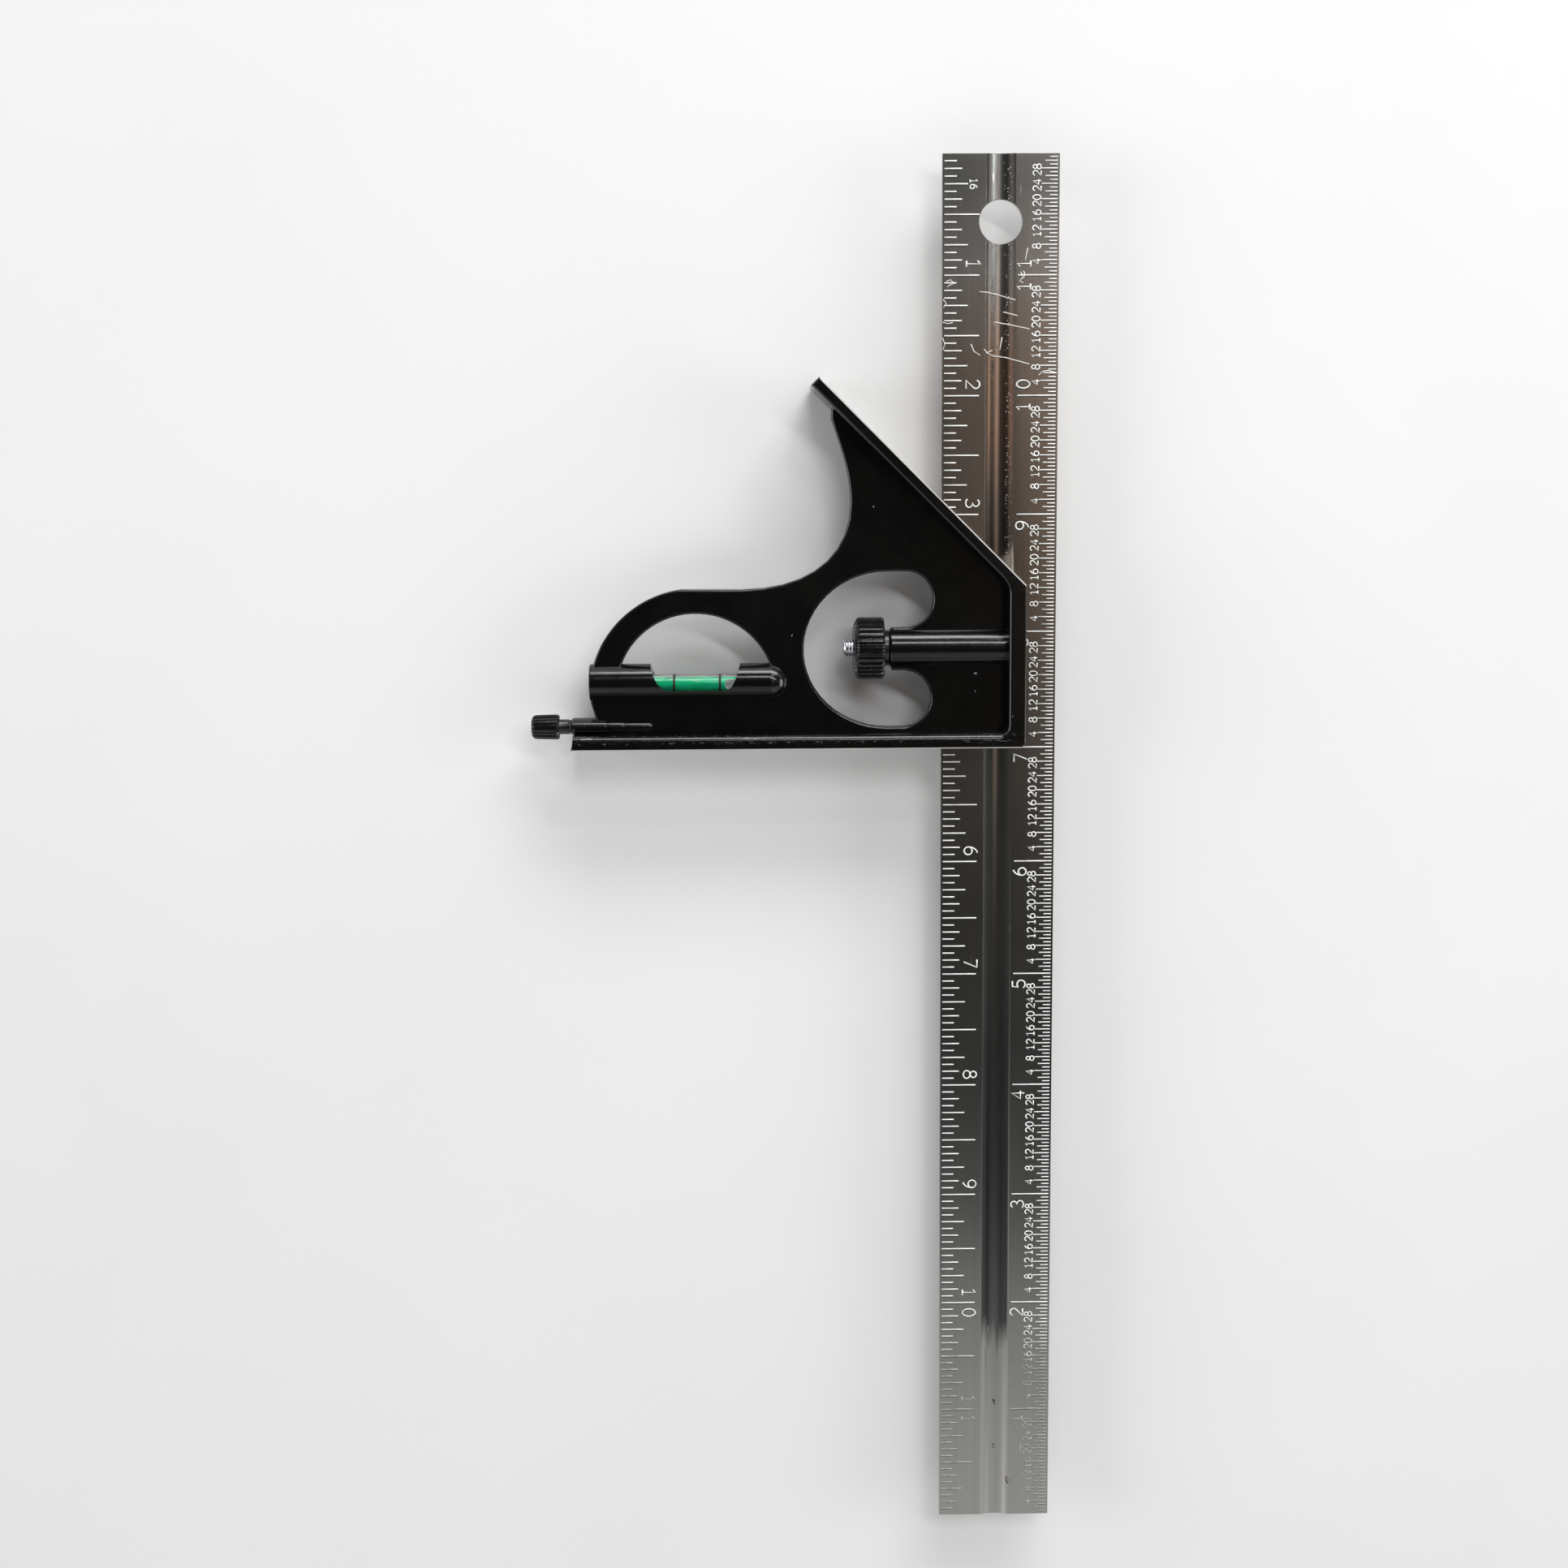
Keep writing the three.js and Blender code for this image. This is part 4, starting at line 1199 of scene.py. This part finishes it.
stand_for(head_casting(), "head_casting")
stand_for(blade_body(), "blade", "blade")
BLADE_MARKS = (
    # The dark rows are painted shadow: strips set a little towards -y beside the bright marks, as the
    # engraving's shade.
    ("front_bold_painted_shadows", front_bold_marks(), 0.12, BLADE_HALF, 0.1, MARK_PAINTED_SHADOW, 0.008),
    ("front_bold_marks", front_bold_marks(), 0.125, BLADE_HALF, 0, ETCHED, 0.016),
    ("front_fine_painted_shadows", front_fine_marks(), 0.1, BLADE_HALF, 0.09, MARK_PAINTED_SHADOW, 0.008),
    ("front_fine_marks", front_fine_marks(), 0.105, BLADE_HALF, 0, ETCHED, 0.016),
    ("back_painted_mark_shadows", back_marks(), 0.09, -BLADE_HALF, 0.06, MARK_PAINTED_SHADOW, 0.008),
    ("back_marks", back_marks(), 0.09, -BLADE_HALF, 0, ETCHED, 0.016),
    ("scratches", SCRATCHES, 0.055, BLADE_HALF, 0, ETCHED, 0.016),
    ("stains", STAINS, 0.13, BLADE_HALF, 0, STAIN, 0.014),
)
HEAD_MARKS = (
    ("web_specks", WEB_SPECKS, 0.16, WEB_HALF, 0, BARE_CHIP, 0.02),
    ("flange_chips", FLANGE_CHIPS, 0.14, HALF_DEPTH - 0.36, 0, BARE_CHIP, 0.12),
)
for body, slot, rows in (
    ("blade", "stainless_blade", BLADE_MARKS),
    ("head", "black_casting", HEAD_MARKS),
):
    for row in rows:
        marks = marks_piece(*row)
        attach(marks, body)
stand_for(clamp_nut(), "clamp_nut", "clamp_nut")
stand_for(clamp_bolt(), "clamp_bolt", "clamp_bolt")
stand_for(clamp_spring(), "clamp_spring")
tube, cap, liquid, rings, beds, plug = vial_pieces()
stand_for(tube, "vial_tube")
stand_for(cap, "vial_cap")
stand_for(liquid, "vial_liquid")
for ring, side in zip(rings, ("left", "right")):
    stand_for(ring, "vial_line_" + side)
for bed, side in zip(beds, ("left", "right")):
    stand_for(bed, "vial_bedding_" + side)
stand_for(plug, "barrel_plug")
stand_for(scriber_knob(), "scriber_knob", "scriber")
stand_for(scriber_needle(), "scriber_needle", "scriber")
stand_for(scriber_bush(), "scriber_bush")


# ---- Stage, light and camera ----


FLOOR_FADE = 3500  # millimetres out, where the floor is as pale as the room


def floor():
    """A pale floor that meets the room without a dark line."""
    deselect()
    bpy.ops.mesh.primitive_plane_add(size=30, location=(0, 0, -0.0002))
    ground = bpy.context.object
    ground.name = "floor"
    finish = Finish("pale_floor", Roughness=0.8)
    mottle = finish.noise(9)
    east, north = finish.axis("X"), finish.axis("Y")
    away = (east * east + north * north) * (1 / FLOOR_FADE ** 2)
    finish.set(
        Base_Color=finish.ramp(mottle, [(0.3, 0.84), (0.7, 0.87)]),
        Emission_Color=finish.ramp(away, [(0.05, 0), (0.35, 0.72)]),
        Emission_Strength=1,
    )
    painted(ground, finish.material)


def panel(name, place, aim, size, radiance, tint=(1, 1, 1)):
    """A soft light panel of this brightness that faces a place near the tool."""
    light = bpy.data.lights.new(name, "AREA")
    light.shape = "RECTANGLE"
    light.size, light.size_y = size
    light.energy = radiance * math.pi * size[0] * size[1]
    light.color = tint
    lamp = bpy.data.objects.new(name, light)
    lamp.location = place
    lamp.rotation_euler = (Vector(aim) - Vector(place)).to_track_quat("-Z", "Y").to_euler()
    bpy.context.scene.collection.objects.link(lamp)


def room():
    """Surroundings that are pale near the floor and dark overhead."""
    world = bpy.data.worlds.new("room")
    world.use_nodes = True
    nodes, links = world.node_tree.nodes, world.node_tree.links
    where = nodes.new("ShaderNodeTexCoord")
    parts = nodes.new("ShaderNodeSeparateXYZ")
    rise = nodes.new("ShaderNodeValToRGB")
    Finish._stops(rise.color_ramp, [(0, 1), (0.22, 1), (0.38, 0.4), (0.55, 0.05), (1, 0.025)])
    links.new(where.outputs["Generated"], parts.inputs[0])
    links.new(parts.outputs["Z"], rise.inputs[0])
    links.new(rise.outputs[0], nodes["Background"].inputs[0])
    nodes["Background"].inputs[1].default_value = 1.2
    bpy.context.scene.world = world


# Each panel: name, place, what it faces, size, brightness and, where it has one, tint.
PANELS = (
    ("foot_panel", (0.04, -0.96, 1.1), (0.04, -0.15, 0), (1.5, 0.9), 0.53),
    ("foot_wing_left", (-0.86, -1.12, 1.1), (-0.2, -0.15, 0), (1.3, 0.9), 0.58),
    ("foot_wing_right", (0.97, -1.2, 1.1), (0.28, -0.15, 0), (1.3, 0.9), 0.6),
    ("overhead_warm", (0.28, 0.12, 1), (0.04, 0.1, 0), (0.5, 0.16), 0.5, (1, 0.74, 0.58)),
    ("overhead_cool", (0.28, 0.27, 1), (0.04, 0.1, 0), (0.5, 0.14), 0.42),
    ("overhead_left", (-0.5, 0.28, 1), (0.04, 0.1, 0), (0.6, 0.3), 0.34, (1, 0.9, 0.82)),
    ("overhead_right", (0.9, 0.27, 1), (0.04, 0.1, 0), (0.4, 0.16), 0.9, (1, 0.93, 0.86)),
    ("upper_tube", (0.3, 0.56, 1), (0, 0.05, 0), (0.8, 0.09), 15),
    ("lower_tube", (0.35, 1.2, 0.55), (0, 0.05, 0), (1.1, 0.34), 10),
    ("left_panel", (-1.5, 0.1, 0.6), (0, 0, 0), (0.9, 0.6), 4.8),
    ("right_panel", (1.6, -0.1, 0.55), (0, 0, 0), (0.9, 0.5), 4.8),
    ("small_lamp", (0.28, 0.84, 0.72), (0, 0.03, 0), (0.06, 0.06), 60),
)


def camera():
    """Looks down on the blade's front from nearly half a metre."""
    lens = bpy.data.cameras.new("camera")
    lens.lens = 50
    lens.sensor_width = 36
    lens.clip_start = 0.01
    viewer = bpy.data.objects.new("camera", lens)
    bpy.context.scene.collection.objects.link(viewer)
    middle = Vector((CENTRE_X, (blade_low.y + blade_high.y) / 2, blade_high.z))
    place = middle + Vector((-52.36, 79.56, 475.30)) * MM
    tilt = (
        Matrix.Rotation(math.radians(0.470), 3, "Z")
        @ Matrix.Rotation(math.radians(0.633), 3, "Y")
        @ Matrix.Rotation(math.radians(7.421), 3, "X")
    )
    viewer.matrix_world = Matrix.Translation(place) @ tilt.transposed().to_4x4()
    bpy.context.scene.camera = viewer


floor()
room()
for row in PANELS:
    panel(*row)
camera()
bpy.context.scene.view_settings.view_transform = "Standard"
